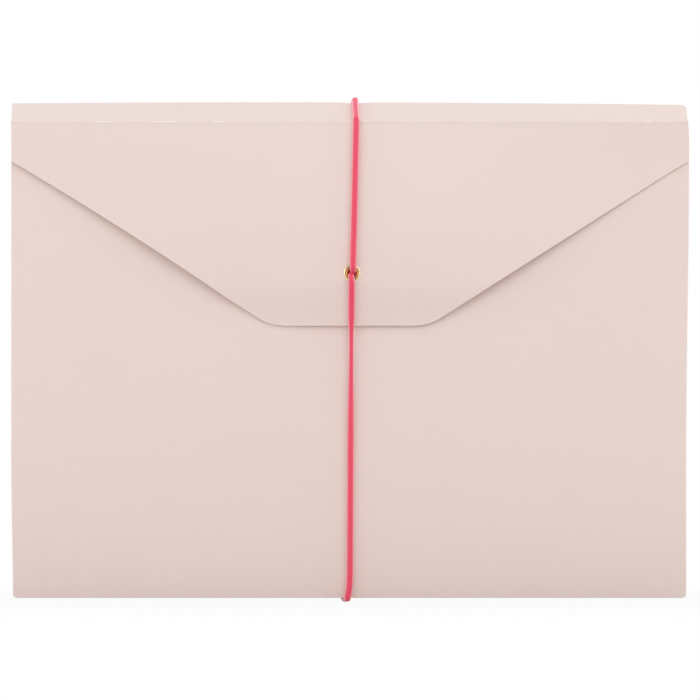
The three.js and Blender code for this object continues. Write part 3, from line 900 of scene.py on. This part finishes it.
# %% [markdown]
# ## The two creases
#
# Back cover, panel and flap are one sheet, folded twice. A crease can't belong to one moving part,
# so each is a thin strip of its own, laid round the fold. Its section is the outside of the fold with
# a short leg down each sheet. It stands a hair proud, a little more here than there, which makes the
# pale line with a soft shade beneath it.

# %% Creases
CREST = 0.00003
LEG = 0.0030
LEG_STEPS = 5
FOLD_STEPS = 8
CREASE_STATIONS = 150
CREST_UNEVEN = 0.9
CREST_LENGTH = 0.006
STRIP_THICKNESS = 0.0003
SUNK = 0.00004
END_GAP = 0.0001


def on_circle(middle, radius, degrees):
    """Depth and height of a point round a middle. Degrees turn from +Y towards +Z."""
    angle = math.radians(degrees)
    return middle.y + radius * math.cos(angle), middle.z + radius * math.sin(angle)


def proud(share):
    """How far a leg stands off its sheet, from the fold (0) to the leg's end (1)."""
    return CREST * (1 - share) ** 2 - SUNK * share


def panel_leg(fold, way, share):
    """A point of the leg on the panel, which lies on one side of the fold."""
    y, z = on_circle(fold, SHEET / 2 + proud(share), panel_normal)
    along = math.radians(panel_normal + 90 * way)
    return y + LEG * share * math.cos(along), z + LEG * share * math.sin(along)


def flap_leg(x, share):
    z = front_crease.z - LEG * share
    return flap_face(x, z) - proud(share), z


def back_leg(x, share):
    return rear_crease.y + SHEET / 2 + proud(share), rear_crease.z - LEG * share


def panel_lift(x, y):
    """How much the bow of the rear crease lifts a point of the panel, or of a crease beside it."""
    return rear_bow(x) * clamp((y - front_crease.y) / panel_run.y)


def crease(name, fold, other_leg, other_normal, way, fold_finish, corner=0):
    """A strip round the outside of a fold, from a leg on the panel to a leg on the other sheet."""
    shares = [i / LEG_STEPS for i in range(1, LEG_STEPS + 1)]
    turn = np.linspace(panel_normal, other_normal, FOLD_STEPS + 1)
    right_end = half_width + right_side(fold.z) - corner - END_GAP
    rows = []
    for x in np.linspace(END_GAP - half_width, right_end, CREASE_STATIONS + 1):
        uneven = noise.noise(Vector((x / CREST_LENGTH, 0, fold.z * 50)))
        crest = CREST * (1 + CREST_UNEVEN * uneven)
        section = [panel_leg(fold, way, share) for share in reversed(shares)]
        section += [on_circle(fold, SHEET / 2 + crest, degrees) for degrees in turn]
        section += [other_leg(x, share) for share in shares]
        rows.append([(x, y, z + panel_lift(x, y)) for y, z in section])
    strip = add_piece(name, grid_mesh(name, rows), cover_plastic, fold_finish)
    for face in strip.data.polygons:
        if LEG_STEPS <= face.index % (len(rows[0]) - 1) < LEG_STEPS + FOLD_STEPS:
            face.material_index = 1
    solidify(strip, STRIP_THICKNESS, way)
    start = on_circle(fold, SHEET / 2, panel_normal)
    end = on_circle(fold, SHEET / 2, other_normal)
    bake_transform(strip)


slope = math.degrees(math.atan2(rear_crease.z - front_crease.z, rear_crease.y - front_crease.y))
panel_normal = 90 + slope
crease("front_crease", front_crease, flap_leg, 180, -1, crease_plastic)
crease("rear_crease", rear_crease, back_leg, 0, 1, cover_plastic, PANEL_CORNER[0])
print("panel slopes", round(slope, 1), "degrees")

# %% [markdown]
# ## Recipes in Geometry Nodes
#
# The pleats repeat six times and the cord follows a path, so both are written once as a node tree
# with named inputs. A Recipe keeps the tree, sets a modifier's inputs by their identifiers, and
# turns the result into a plain mesh, which can then ride with the moving parts.


# %% Recipe
class Recipe:
    """A Geometry Nodes tree with named inputs, and the baking of meshes from it."""

    def __init__(self, name, inputs):
        self.tree = bpy.data.node_groups.new(name, "GeometryNodeTree")
        self.wiring = Wiring(self.tree)
        sockets = self.tree.interface
        sockets.new_socket("Geometry", in_out="INPUT", socket_type="NodeSocketGeometry")
        sockets.new_socket("Geometry", in_out="OUTPUT", socket_type="NodeSocketGeometry")
        self.keys = {}
        for label, kind in {**inputs, "Material": "Material"}.items():
            made = sockets.new_socket(label, in_out="INPUT", socket_type="NodeSocket" + kind)
            self.keys[label] = made.identifier
        self.entry = self.tree.nodes.new("NodeGroupInput")

    def given(self, label):
        return Value(self.wiring, self.entry.outputs[label])

    def close(self, geometry):
        """Ends the tree: no instances are left, and the material is set."""
        smooth = self.wiring.add("GeometryNodeSetShadeSmooth", None, {"Geometry": geometry})
        real = self.wiring.add("GeometryNodeRealizeInstances", None, {"Geometry": smooth})
        inputs = {"Geometry": real, "Material": self.given("Material")}
        dressed = self.wiring.add("GeometryNodeSetMaterial", None, inputs)
        self.wiring.join(self.tree.nodes.new("NodeGroupOutput").inputs["Geometry"], dressed)

    def bake(self, base, name, values):
        """Runs the recipe on a base object and gives back the mesh as a piece."""
        modifier = base.modifiers.new(self.tree.name, "NODES")
        modifier.node_group = self.tree
        for label, value in values.items():
            modifier[self.keys[label]] = value
        evaluated = base.evaluated_get(bpy.context.evaluated_depsgraph_get())
        mesh = bpy.data.meshes.new_from_object(evaluated)
        mesh.name = name
        bpy.data.objects.remove(base)
        return add_piece(name, mesh, values["Material"])


def base_object(name, points=((0, 0, 0),), edges=()):
    """The small mesh that a recipe starts from."""
    return put(name, new_mesh(name, points, edges))


# %% [markdown]
# ## The pleats
#
# Each pocket is closed by one strip of film that runs down one side, along the bottom and up the
# other side. It is welded to the sheets behind and before it, and folds outwards between them. Six
# hand-made meshes would all differ. The rule is short: one grid, whose first direction crosses the
# fold and whose second follows the U, with the corners mitred by themselves, because the bottom
# part's height and the side part's x both come from the same distance to the edge.

# %% Pleat recipe
PLEAT_SIZES = (
    "Half width", "Top", "Back", "Gap", "Outer fold", "Inner fold", "Weld", "Ripple", "Seed",
)
ACROSS_POINTS = 33
LEG_POINTS = 56
LEG_SHARE = 0.72
FOLD_ROUND = 0.12
RIPPLE_SCALE = 34.0

pleat = Recipe("Pleat", dict.fromkeys(PLEAT_SIZES, "Float"))
fold = pleat.wiring
across_u = {"Size X": 1.0, "Size Y": 3.0, "Vertices X": ACROSS_POINTS, "Vertices Y": 3 * LEG_POINTS + 1}
flat_grid = fold.add("GeometryNodeMeshGrid", None, across_u)
position = fold.add("GeometryNodeInputPosition")
across = fold.part(position, "X") * 2
along = fold.part(position, "Y") + 1.5
signed = (across / LEG_SHARE).at_least(-1).at_most(1)
leg_share = abs(signed)
reach = math.sqrt(1 + FOLD_ROUND**2) - FOLD_ROUND
rounded = ((leg_share * leg_share + FOLD_ROUND**2) ** 0.5 - FOLD_ROUND) / reach
margin = (abs(across) - LEG_SHARE).at_least(0) / (1 - LEG_SHARE)
outer_fold = pleat.given("Outer fold")
inset = outer_fold + (pleat.given("Inner fold") - outer_fold) * rounded + pleat.given("Weld") * margin
side = (along * 2 - 3).at_least(-1).at_most(1)
up = (1 - along).at_least(along - 2).at_least(0)
pleat_x = (pleat.given("Half width") - inset) * side
pleat_z = inset + (pleat.given("Top") - inset) * up
spread = fold.add("ShaderNodeCombineXYZ", None, {"X": pleat_x, "Y": pleat.given("Seed"), "Z": pleat_z})
ripple = pleat.given("Ripple") * (fold.noise(spread, RIPPLE_SCALE) - 0.5) * (1 - leg_share)
pleat_y = pleat.given("Back") - pleat.given("Gap") * (signed * 0.5 + 0.5) + ripple
placed = fold.add("ShaderNodeCombineXYZ", None, {"X": pleat_x, "Y": pleat_y, "Z": pleat_z})
pleat.close(fold.add("GeometryNodeSetPosition", None, {"Geometry": flat_grid, "Position": placed}))

# %% [markdown]
# The recipe now runs six times, each time between the next two sheets. The last pleat also follows
# the bulge of the front cover, more and more from its rear margin to its front one.

# %% Six pleats
POCKETS = 6
DIVIDER_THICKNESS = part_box("divider_1")[1].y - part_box("divider_1")[0].y
PLEAT_FILM = 0.00035
pocket_gap = inner_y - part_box("divider_1")[1].y
sheet_pitch = pocket_gap + DIVIDER_THICKNESS
pleat_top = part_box("gusset_1")[1].z
for number in range(1, POCKETS + 1):
    back = inner_y - (number - 1) * sheet_pitch
    sizes = {
        "Half width": half_width,
        "Top": pleat_top,
        "Back": back - PLEAT_FILM / 2,
        "Gap": pocket_gap - PLEAT_FILM,
        "Outer fold": 0.0042,
        "Inner fold": 0.012,
        "Weld": 0.006,
        "Ripple": 0.0011,
        "Seed": 0.37 * number,
        "Material": pleat_plastic,
    }
    film = pleat.bake(base_object("pleat_start"), f"pleat_{number}", sizes)
    if number == POCKETS:
        for vertex in film.data.vertices:
            share = (back - vertex.co.y) / pocket_gap
            vertex.co.y -= clamp(share) * bulge(vertex.co.z)
    solidify(film, PLEAT_FILM)
    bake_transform(film)
    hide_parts(f"gusset_{number}")
print("pleats:", POCKETS, "of", len(film.data.polygons), "faces")

# %% [markdown]
# ## The elastic cord
#
# The cord is a rubber core in a braided sleeve. From a distance it is a plain coral line, and close
# by it is a diamond braid. A bump map alone would leave its outline smooth, so the braid is real
# relief: the tube is pushed out by the product of two sine waves, one for each direction in which
# the strands wind. The same product is stored as an attribute, and the material darkens the valleys
# with it, as painted shade.
# The route brings a girth of its own, point by point, for where the cord is stretched or squeezed.

# %% Cord recipe
CORD_INPUTS = {
    "Radius": "Float",
    "Relief": "Float",
    "Braid length": "Float",
    "Strands": "Float",
    "Sides": "Int",
    "Step": "Float",
    "Start": "Float",
}

RIB_SHAPE = 0.6
RIB_MIDDLE = 0.6

cord = Recipe("Braided cord", CORD_INPUTS)
braid = cord.wiring
path = braid.add("GeometryNodeMeshToCurve", None, {"Mesh": cord.given("Geometry")})
stepped = {"Curve": path, "Length": cord.given("Step")}
path = braid.add("GeometryNodeResampleCurve", {"mode": "LENGTH"}, stepped)


def capture(geometry, parameter):
    """Keeps a parameter of a curve's points, so that it is still known on the mesh."""
    node = braid.tree.nodes.new("GeometryNodeCaptureAttribute")
    node.capture_items.new("FLOAT", parameter)
    braid.join(node.inputs[0], geometry)
    braid.join(node.inputs[1], braid.add("GeometryNodeSplineParameter", output=parameter))
    return Value(braid, node.outputs[0]), Value(braid, node.outputs[1])


path, run = capture(path, "Length")
ring_inputs = {"Resolution": cord.given("Sides"), "Radius": cord.given("Radius")}
ring, round_share = capture(braid.add("GeometryNodeCurvePrimitiveCircle", None, ring_inputs), "Factor")
girth = braid.add("GeometryNodeInputNamedAttribute", None, {"Name": "girth"})
tube_inputs = {"Curve": path, "Profile Curve": ring, "Scale": girth, "Fill Caps": True}
tube = braid.add("GeometryNodeCurveToMesh", None, tube_inputs)
wound = (run + cord.given("Start")) / cord.given("Braid length")
turned_share = round_share * cord.given("Strands")
left_hand = abs(((turned_share + wound) * math.pi).sine())
right_hand = abs(((turned_share - wound) * math.pi).sine())
rib = (left_hand * right_hand) ** RIB_SHAPE
normal = braid.add("GeometryNodeInputNormal")
push = {0: normal, "Scale": cord.given("Relief") * (rib - RIB_MIDDLE)}
offset = braid.add("ShaderNodeVectorMath", {"operation": "SCALE"}, push)
shaped = braid.add("GeometryNodeSetPosition", None, {"Geometry": tube, "Offset": offset})
stored = {"Geometry": shaped, "Name": "rib", "Value": rib}
cord.close(braid.add("GeometryNodeStoreNamedAttribute", {"data_type": "FLOAT"}, stored))

# %% [markdown]
# Along the cord's two flanks the base colour turns paler than its front: a painted sheen. Layer
# Weight finds the faces that are seen aslant, as for any sheen, and the normal keeps the painted
# sheen to faces that look sideways. So the strand over the panel, which the camera sees along its
# length, stays coral.

# %% Cord material
SHADED_VALLEY_COLOUR = (0.65, 0.034, 0.090, 1)
CREST_COLOUR = (0.835, 0.057, 0.130, 1)
PAINTED_SHEEN_COLOUR = (0.98, 0.56, 0.57, 1)
PAINTED_SHEEN_WEIGHT = 0.85
ASLANT_RAMP = (2.2, -0.3)
SIDEWAYS_RAMP = (2.2, -1)
FIBRE_SCALE = 3200.0

elastic_surface = {
    "Sheen Weight": 0.15,
    "Sheen Roughness": 0.42,
    "Sheen Tint": (1.0, 0.78, 0.80, 1),
    "Specular IOR Level": 0.55,
    # Painted light: a faint coral Emission that brightens the whole cord.
    "Emission Color": (1.0, 0.16, 0.22, 1),
    "Emission Strength": 0.07,
    "Subsurface Weight": 0.2,
    "Subsurface Radius": (0.001, 0.0003, 0.0004),
    "Subsurface Scale": 1.0,
}
elastic, yarn, yarn_shader = new_material("coral_elastic", elastic_surface)
crest = yarn.add("ShaderNodeAttribute", {"attribute_name": "rib"}, output="Fac")
fibre = yarn.noise(yarn.object_place(), FIBRE_SCALE)
# Painted shade: the braid's valleys are darker than its crests.
lit_share = (crest * 0.85 + fibre * 0.25).at_most(1)
yarn_colour = yarn.mix_colours(lit_share, SHADED_VALLEY_COLOUR, CREST_COLOUR)
aslant = yarn.add("ShaderNodeLayerWeight", None, {"Blend": 0.5}, output="Facing")
outward = yarn.add("ShaderNodeNewGeometry", output="Normal")
sideways = abs(yarn.part(outward, "X"))
# Painted sheen: a paler colour on the flanks that are seen aslant and face sideways.
painted_sheen_share = PAINTED_SHEEN_WEIGHT * aslant.ramp(*ASLANT_RAMP) * sideways.ramp(*SIDEWAYS_RAMP)
yarn.join(yarn_shader.inputs["Base Color"], yarn.mix_colours(painted_sheen_share, yarn_colour, PAINTED_SHEEN_COLOUR))
yarn.join(yarn_shader.inputs["Roughness"], 0.52 - 0.14 * crest)
yarn.join(yarn_shader.inputs["Normal"], yarn.bump(0.25, 0.00008, fibre))
print("cord recipe:", len(cord.tree.nodes), "nodes")

# %% [markdown]
# The cord's way round the file is a list of given points, as the cord lies in the picture: a little
# right of the middle at the top, over to the middle at the foot. It is pulled tight, so it runs
# straight from one thing that carries it to the next, and bites a little into each edge. A
# Catmull-Rom curve through the points keeps it round between them. Each route has a list of girths
# as well: the cord is squeezed in the eyelet, and thin where it spans free below the flap.

# %% Routes
CORD_RADIUS = 0.0015
FULL_RADIUS = 0.00172
ON_SHEET = CORD_RADIUS + 0.00002
STRAND_X = (
    (-0.0001, 0.004), (0.0003, 0.011), (0.0005, 0.055), (0.0007, 0.099), (0.0009, 0.121),
    (0.0010, 0.1355), (0.0011, 0.150), (0.0013, 0.158), (0.0018, 0.165), (0.0021, 0.175),
    (0.0024, 0.187), (0.0027, 0.201), (0.0030, 0.216), (0.0033, 0.2305),
)
TOP_X = 0.0033
REAR_TOP_X = 0.0022


def strand_x(z):
    """Where the cord crosses a height on the front."""
    return float(np.interp(z, [p[1] for p in STRAND_X], [p[0] for p in STRAND_X]))


def arc(middle, radius, start, end, xs, steps=8):
    """Points round a middle in the YZ plane, with the radius and x going from one value to another."""
    shares = np.linspace(0, 1, steps + 1)
    radii = np.interp(shares, np.linspace(0, 1, len(radius)), radius)
    places = [on_circle(middle, r, start + (end - start) * s) for r, s in zip(radii, shares)]
    return [(xs[0] + (xs[1] - xs[0]) * s, y, z) for s, (y, z) in zip(shares, places)]


def between(first, second, start, end, t):
    """The point between two points at t, which goes from start to end."""
    return first + (second - first) * (t - start) / (end - start)


def catmull_rom(points, step=0.0004):
    """A smooth curve through points, as closely spaced points."""
    points = np.array(points, float)
    ends = np.vstack([2 * points[0] - points[1], points, 2 * points[-1] - points[-2]])
    made = []
    for a, b, c, d in zip(ends, ends[1:], ends[2:], ends[3:]):
        knots = [0.0]
        for first, second in ((a, b), (b, c), (c, d)):
            knots.append(knots[-1] + max(1e-6, np.linalg.norm(second - first)) ** 0.5)
        t0, t1, t2, t3 = knots
        for t in np.linspace(t1, t2, max(2, round(np.linalg.norm(c - b) / step)), endpoint=False):
            ab = between(a, b, t0, t1, t)
            bc = between(b, c, t1, t2, t)
            cd = between(c, d, t2, t3, t)
            made.append(between(between(ab, bc, t0, t2, t), between(bc, cd, t1, t3, t), t1, t2, t))
    return np.vstack([made, points[-1]])


def route_base(name, route, girths=(1, 1)):
    """A smooth route as a string of edges, each point with its share of the cord's full radius."""
    line = catmull_rom(route)
    far = np.concatenate([[0], np.cumsum(np.linalg.norm(np.diff(line, axis=0), axis=1))])
    base = base_object(name, [tuple(p) for p in line], [(i, i + 1) for i in range(len(line) - 1)])
    share = base.data.attributes.new("girth", "FLOAT", "POINT")
    share.data.foreach_set("value", np.interp(far, np.linspace(0, far[-1], len(girths)), girths))
    return base, float(far[-1])


def braided(name, route, start, girths=(1, 1), radius=FULL_RADIUS):
    """A stretch of the cord along a route; gives back the piece and its length."""
    base, length = route_base(name + "_route", route, girths)
    sizes = {
        "Radius": radius,
        "Relief": 0.00014,
        "Braid length": 0.0015,
        "Strands": 10.0,
        "Sides": 40,
        "Step": 0.0002,
        "Start": start,
        "Material": elastic,
    }
    piece = cord.bake(base, name, sizes)
    return piece, length


# %% [markdown]
# The upper strand leaves the eyelet, climbs the flap and goes round the front crease. The panel
# carries the top strand as far as the rear crease. Below the eyelet the lower strand crosses the
# flap's tip and the bulge, and goes under both covers. The rear strand closes the loop.

# %% Upper and top strands
RIM_CLEAR = 0.0013
MOUTH_OFFSET = 0.0011
MOUTH_ASIDE = 0.0005
FRONT_BEND_RADII = (0.0018, 0.0017)
TOP_BEND_RADII = (0.00185, 0.0014, 0.0016, 0.00195)
GIRTH_OUT = (0.8, 0.84, 0.97)

inside_y = washer_box[1].y
over_rim_y = eyelet_front - RIM_CLEAR


def mouth(way, x, end_x):
    """Out of the eyelet and over its rim, upwards for way 1 and downwards for way -1."""
    z = eyelet_middle.z + way * MOUTH_OFFSET
    return [
        (x, inside_y, z),
        (x, eyelet_front + 0.0007, z),
        (x + 0.3 * (end_x - x), eyelet_front - 0.0006, z + way * 0.0006),
        (x + 0.6 * (end_x - x), over_rim_y, z + way * 0.0019),
        (end_x, over_rim_y + 0.00005, z + way * 0.0036),
    ]


def up_flap(z):
    """A point of the cord on the flap at a height."""
    return (strand_x(z), flap_face(strand_x(z), z) - ON_SHEET, z)


upper_route = mouth(1, eyelet_middle.x + MOUTH_ASIDE, strand_x(0.165))
upper_route += [up_flap(z) for z in (0.1695, 0.178, 0.190, 0.203, 0.216, 0.226)]
front_bend = arc(front_crease, FRONT_BEND_RADII, 184, panel_normal, (TOP_X, TOP_X))
upper_route += front_bend
up_panel = Vector((0, math.cos(math.radians(slope)), math.sin(math.radians(slope))))
on_panel = Vector(front_bend[-1]) + 0.001 * up_panel
upper_route.append(tuple(on_panel))
upper_girths = GIRTH_OUT + (1.0,) * 30
upper, upper_length = braided("elastic_upper_strand", upper_route, 0, upper_girths)
on_circle(front_crease, 0.0018, 186)
on_circle(front_crease, 0.0018, panel_normal)
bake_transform(upper)
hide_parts("elastic_upper")

top_xs = (TOP_X - 0.0005, REAR_TOP_X)
top_bend = arc(rear_crease, TOP_BEND_RADII, panel_normal + 12, 0, top_xs, 12)
rear_y = top_bend[-1][1]
panel_way = Vector(top_bend[0]) - on_panel
top_route = [tuple(on_panel + panel_way * share) for share in (0, 0.35, 0.7)]
top_route += [*top_bend, (REAR_TOP_X, rear_y, rear_crease.z - 0.0006)]
top, top_length = braided("elastic_top_strand", top_route, upper_length)
on_circle(rear_crease, 0.0018, panel_normal)
on_circle(rear_crease, 0.0018, 4)
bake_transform(top)
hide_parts("elastic_top")
print("upper and top strands:", round(1000 * (upper_length + top_length)), "mm")

# %% [markdown]
# Behind the file the cord runs straight down the back cover. When the file opens, the freed strand
# swings over to the back and this one ends higher up, where the freed one begins: the script works
# out the share of its height that it keeps then. The lower strand's girths thin it where it spans
# free below the flap.

# %% Rear and lower strands
FOOT_Y = 0.021823
FOOT_Z = 0.0041
FOOT_RADIUS = 0.0019
FOOT_LEVEL = FULL_RADIUS - CORD_BELOW
FOOT_RISE = 0.1832025
REAR_RISE = 0.0006
GIRTH_FREE_SPAN = (
    0.94, 0.79, 0.69, 0.65, 0.65, 0.66, 0.67, 0.69, 0.72,
    0.76, 0.80, 0.83, 0.86, 0.89, 0.92, 0.95, 0.97, 0.99,
)
GIRTH_END = (0.82, 0.88, 1.0)

rear_top = top_route[-1]
rear_route = [rear_top, (0.0021, rear_y, 0.2), (0.0014, rear_y, 0.1), (0.0008, rear_y + 0.0001, 0.03),
              (REAR_FOOT_X, FOOT_Y, FOOT_Z)]
rear, rear_length = braided("elastic_rear_strand", rear_route, upper_length + top_length)
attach(rear, "back")
folded_to = FOOT_RISE + FOOT_Z
keep = (rear_top[2] - folded_to) / (rear_top[2] - FOOT_Z)
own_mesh(rear)
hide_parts("elastic_rear")


def down_cover(z):
    """A point of the cord on the front cover at a height."""
    return (strand_x(z), cover_face(z) - ON_SHEET, z)


lower_route = mouth(-1, eyelet_middle.x - MOUTH_ASIDE, strand_x(0.150))
lower_route += [up_flap(z) for z in (0.1475, 0.141)]
lower_route.append(up_flap(flap_bottom + 0.0008))
lower_route += [down_cover(z) for z in (0.058, 0.044, 0.032, 0.022, 0.014, 0.009, 0.005)]
bottom_level = Vector((0, 0, FOOT_LEVEL + FOOT_RADIUS))
front_foot = Vector((0, cover_face(0.001) - ON_SHEET + FOOT_RADIUS - 0.0001, bottom_level.z))
rear_foot = Vector((0, FOOT_Y - FOOT_RADIUS, bottom_level.z + REAR_RISE))
lower_route += arc(front_foot, (FOOT_RADIUS,), 190, 270, (-0.0007, -0.0011))
lower_route += [(-0.0023, front_foot.y + 0.006, FOOT_LEVEL), (-0.0018, 0.006, FOOT_LEVEL)]
lower_route += arc(rear_foot, (FOOT_RADIUS,), 270, 360, (REAR_FOOT_X - 0.0014, REAR_FOOT_X))
lower_route.append((REAR_FOOT_X, FOOT_Y, FOOT_Z))
lower_girths = GIRTH_OUT + (1.0,) * 5 + GIRTH_FREE_SPAN + (1.0,) * 35 + GIRTH_END
lower, lower_length = braided("elastic_lower_strand", lower_route, 0, lower_girths)
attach(lower, "lower_elastic")
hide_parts("elastic_lower")
loop = upper_length + top_length + rear_length + lower_length
print("whole loop:", round(1000 * loop), "mm, rear strand keeps", round(keep, 3))

# %% [markdown]
# Behind the eyelet the two ends are tied. The knot is the same cord on a trefoil, the simplest knot
# that doesn't come undone, pressed flat between the flap and the front cover, with two short ends.

# %% Knot
KNOT_RADIUS = 0.00105
KNOT_SPREAD = 0.00118
KNOT_DEPTH = 0.0009
KNOT_MIDDLE = (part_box("elastic_knot")[1] + Vector((0, -0.0020, 0))).y
KNOT_STEPS = 72
KNOT_TURN = 0.3
TAIL = 0.0075


def knot_route():
    """A trefoil round the eyelet's axis, pressed flat."""
    made = []
    for i in range(KNOT_STEPS + 1):
        t = 2 * math.pi * i / KNOT_STEPS + KNOT_TURN
        x = eyelet_middle.x + KNOT_SPREAD * (math.sin(t) + 2 * math.sin(2 * t))
        z = eyelet_middle.z + KNOT_SPREAD * (math.cos(t) - 2 * math.cos(2 * t))
        made.append((x, KNOT_MIDDLE - KNOT_DEPTH * math.sin(3 * t), z))
    return made


def tail_route(side):
    """A short end of the cord, which hangs from the knot to one side."""
    start = Vector((eyelet_middle.x + side * 0.0016, KNOT_MIDDLE + 0.0003, eyelet_middle.z - 0.0018))
    middle = start + Vector((side * 0.0022, 0.0002, -0.5 * TAIL))
    end = start + Vector((side * 0.0030, 0.0, -TAIL))
    return [tuple(start), tuple(middle), tuple(end)]


knot = braided("elastic_knot_cord", knot_route(), 0, radius=KNOT_RADIUS)[0]
tails = [braided(f"elastic_tail_{i}", tail_route(side), 0, radius=KNOT_RADIUS)[0]
         for i, side in ((1, -1), (2, 1))]
for piece in (knot, *tails):
    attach(piece, "flap")
    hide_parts("elastic_knot")
print("knot at depth", round(1000 * KNOT_MIDDLE, 1))

# %% [markdown]
# ## The eyelet and its washer
#
# Both are pressed from thin brass sheet and polished. What makes a ring look pressed is its section:
# a rolled lip round the hole, a groove, and a crown that curls down to the plastic. So the section
# is drawn with arcs and turned round the axis, like work in a lathe. Polish never reaches the bottom
# of the groove, so the metal is duller there. The shader measures the distance to the axis: it
# paints the groove dark, as painted shade, and the lip orange, as a painted reflection of the cord.

# %% Brass
GROOVE = 3.03
GROOVE_HALF = 0.16
TARNISH_SCALE = 420.0
SCRATCH_SCALE = 5200.0
PALE_BRASS = (1.0, 0.87, 0.60, 1)
DEEP_BRASS = (0.92, 0.70, 0.36, 1)
CORD_REFLECTION_BRASS = (0.90, 0.46, 0.14, 1)
SHADED_GROOVE_BRASS = (0.24, 0.15, 0.04, 1)

brass, metal, metal_shader = new_material("polished_brass", {"Metallic": 1.0})
to_middle = {"Vector": metal.object_place(), "Location": tuple(-eyelet_middle)}
centred = metal.add("ShaderNodeMapping", None, to_middle)
tarnish = metal.noise(centred, TARNISH_SCALE, 3.0)
scratch = metal.noise(centred, SCRATCH_SCALE)
flattened = {0: centred, 1: (1, 0, 1)}
in_plane = metal.add("ShaderNodeVectorMath", {"operation": "MULTIPLY"}, flattened)
out = metal.length(in_plane) * 1000
# The groove's dark colour is painted shade; its higher roughness is the dull metal.
grooved = (1.25 - abs(out - GROOVE) / GROOVE_HALF).clamped()
# The lip's orange is a painted reflection of the coral cord.
on_lip = (GROOVE - out).at_least(0).at_most(0.2) * 5
polished = metal.mix_colours(tarnish, PALE_BRASS, DEEP_BRASS)
warmer = metal.mix_colours(on_lip, polished, CORD_REFLECTION_BRASS)
metal.join(metal_shader.inputs["Base Color"], metal.mix_colours(grooved, warmer, SHADED_GROOVE_BRASS))
metal.join(metal_shader.inputs["Roughness"], 0.08 + 0.10 * tarnish + 0.2 * grooved)
metal.join(metal_shader.inputs["Normal"], metal.bump(0.08, 0.00005, scratch))
print("brass:", len(brass.node_tree.nodes), "nodes")

# %% Turned rings
TURN_STEPS = 112


def section_arc(radius, depth, size, start, end, steps=8):
    """Points of a section round (radius, depth). Degrees turn from outwards towards the front."""
    angles = [math.radians(start + (end - start) * i / steps) for i in range(steps + 1)]
    return [(radius + size * math.cos(a), depth - size * math.sin(a)) for a in angles]


def turned_ring(name, section, node):
    """A closed section of (radius, depth) points, turned round the eyelet's axis."""
    count = len(section)
    points = []
    for i in range(TURN_STEPS):
        angle = 2 * math.pi * i / TURN_STEPS
        points += [(eyelet_middle.x + r * math.cos(angle), y, eyelet_middle.z + r * math.sin(angle))
                   for r, y in section]
    faces = []
    for i in range(TURN_STEPS):
        here = i * count
        there = ((i + 1) % TURN_STEPS) * count
        faces += [(here + k, here + (k + 1) % count, there + (k + 1) % count, there + k)
                  for k in range(count)]
    mesh = new_mesh(name, points, faces=faces)
    area = sum(a[0] * b[1] - b[0] * a[1] for a, b in zip(section, section[1:] + section[:1]))
    if area < 0:
        mesh.flip_normals()
    piece = add_piece(name, mesh, brass)
    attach(piece, "flap")
    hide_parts(node)


BORE = 0.0024
RIM = 0.0041
WALL = 0.0003
CLEAR = 0.00002
LIP = 0.00028
LIP_DEPTH = 0.00036
CROWN = 0.00046
CROWN_RADIUS = 0.00364
GROOVE_DEPTH = 0.00074
CURL = 0.00018
CURL_RADIUS = 0.0035
WASHER_CORNER = 0.0003
flap_outer = flap_face(eyelet_middle.x, eyelet_middle.z)
back_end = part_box("eyelet")[1].y
washer_back = washer_box[1].y

eyelet_section = [(BORE, back_end), (BORE, eyelet_front + LIP_DEPTH)]
eyelet_section += section_arc(BORE + LIP, eyelet_front + LIP_DEPTH, LIP, 180, 30)
eyelet_section += [(0.00294, eyelet_front + 0.00050), (0.00298, eyelet_front + GROOVE_DEPTH)]
eyelet_section += [(0.00310, eyelet_front + GROOVE_DEPTH)]
eyelet_section += section_arc(CROWN_RADIUS, eyelet_front + CROWN, CROWN, 165, 0, 12)
eyelet_section += [(RIM, flap_outer - 0.00008), (RIM - 0.0001, flap_outer - CLEAR)]
eyelet_section += [(BORE + WALL, flap_outer - CLEAR), (BORE + WALL, washer_back + CLEAR)]
eyelet_section += section_arc(CURL_RADIUS, washer_back + 0.0002, CURL, 90, -90, 6)
eyelet_section += [(BORE + WALL, back_end)]
turned_ring("eyelet_ring", eyelet_section, "eyelet")

washer_radius = washer_box[1].x - eyelet_middle.x
washer_front = washer_box[0].y
washer_bore = BORE + WALL + 0.0002
washer_section = [(washer_bore, washer_front)]
washer_section += [(washer_radius - 0.0001, washer_front), (washer_radius, washer_front + 0.0001)]
washer_section += section_arc(
    washer_radius - WASHER_CORNER, washer_back - WASHER_CORNER, WASHER_CORNER, 0, -90, 6,
)
washer_section += [(washer_bore, washer_back)]
turned_ring("washer_ring", washer_section, "eyelet_washer")
print("eyelet across", 2 * RIM, "washer across", 2 * washer_radius)

# %% [markdown]
# ## Sizes
#
# The script prints how far each corner of the dressed model's box has moved from the model's box.
# The dressed model has to stay in the model's box, give or take what soft cord stands proud.

# %% The sizes of the dressed model
visual_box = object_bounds()
for label, new, old in zip(("lower", "upper"), visual_box, cad_box):
    print(label, "corner moved by (mm):", [round(1000 * step, 2) for step in new - old])
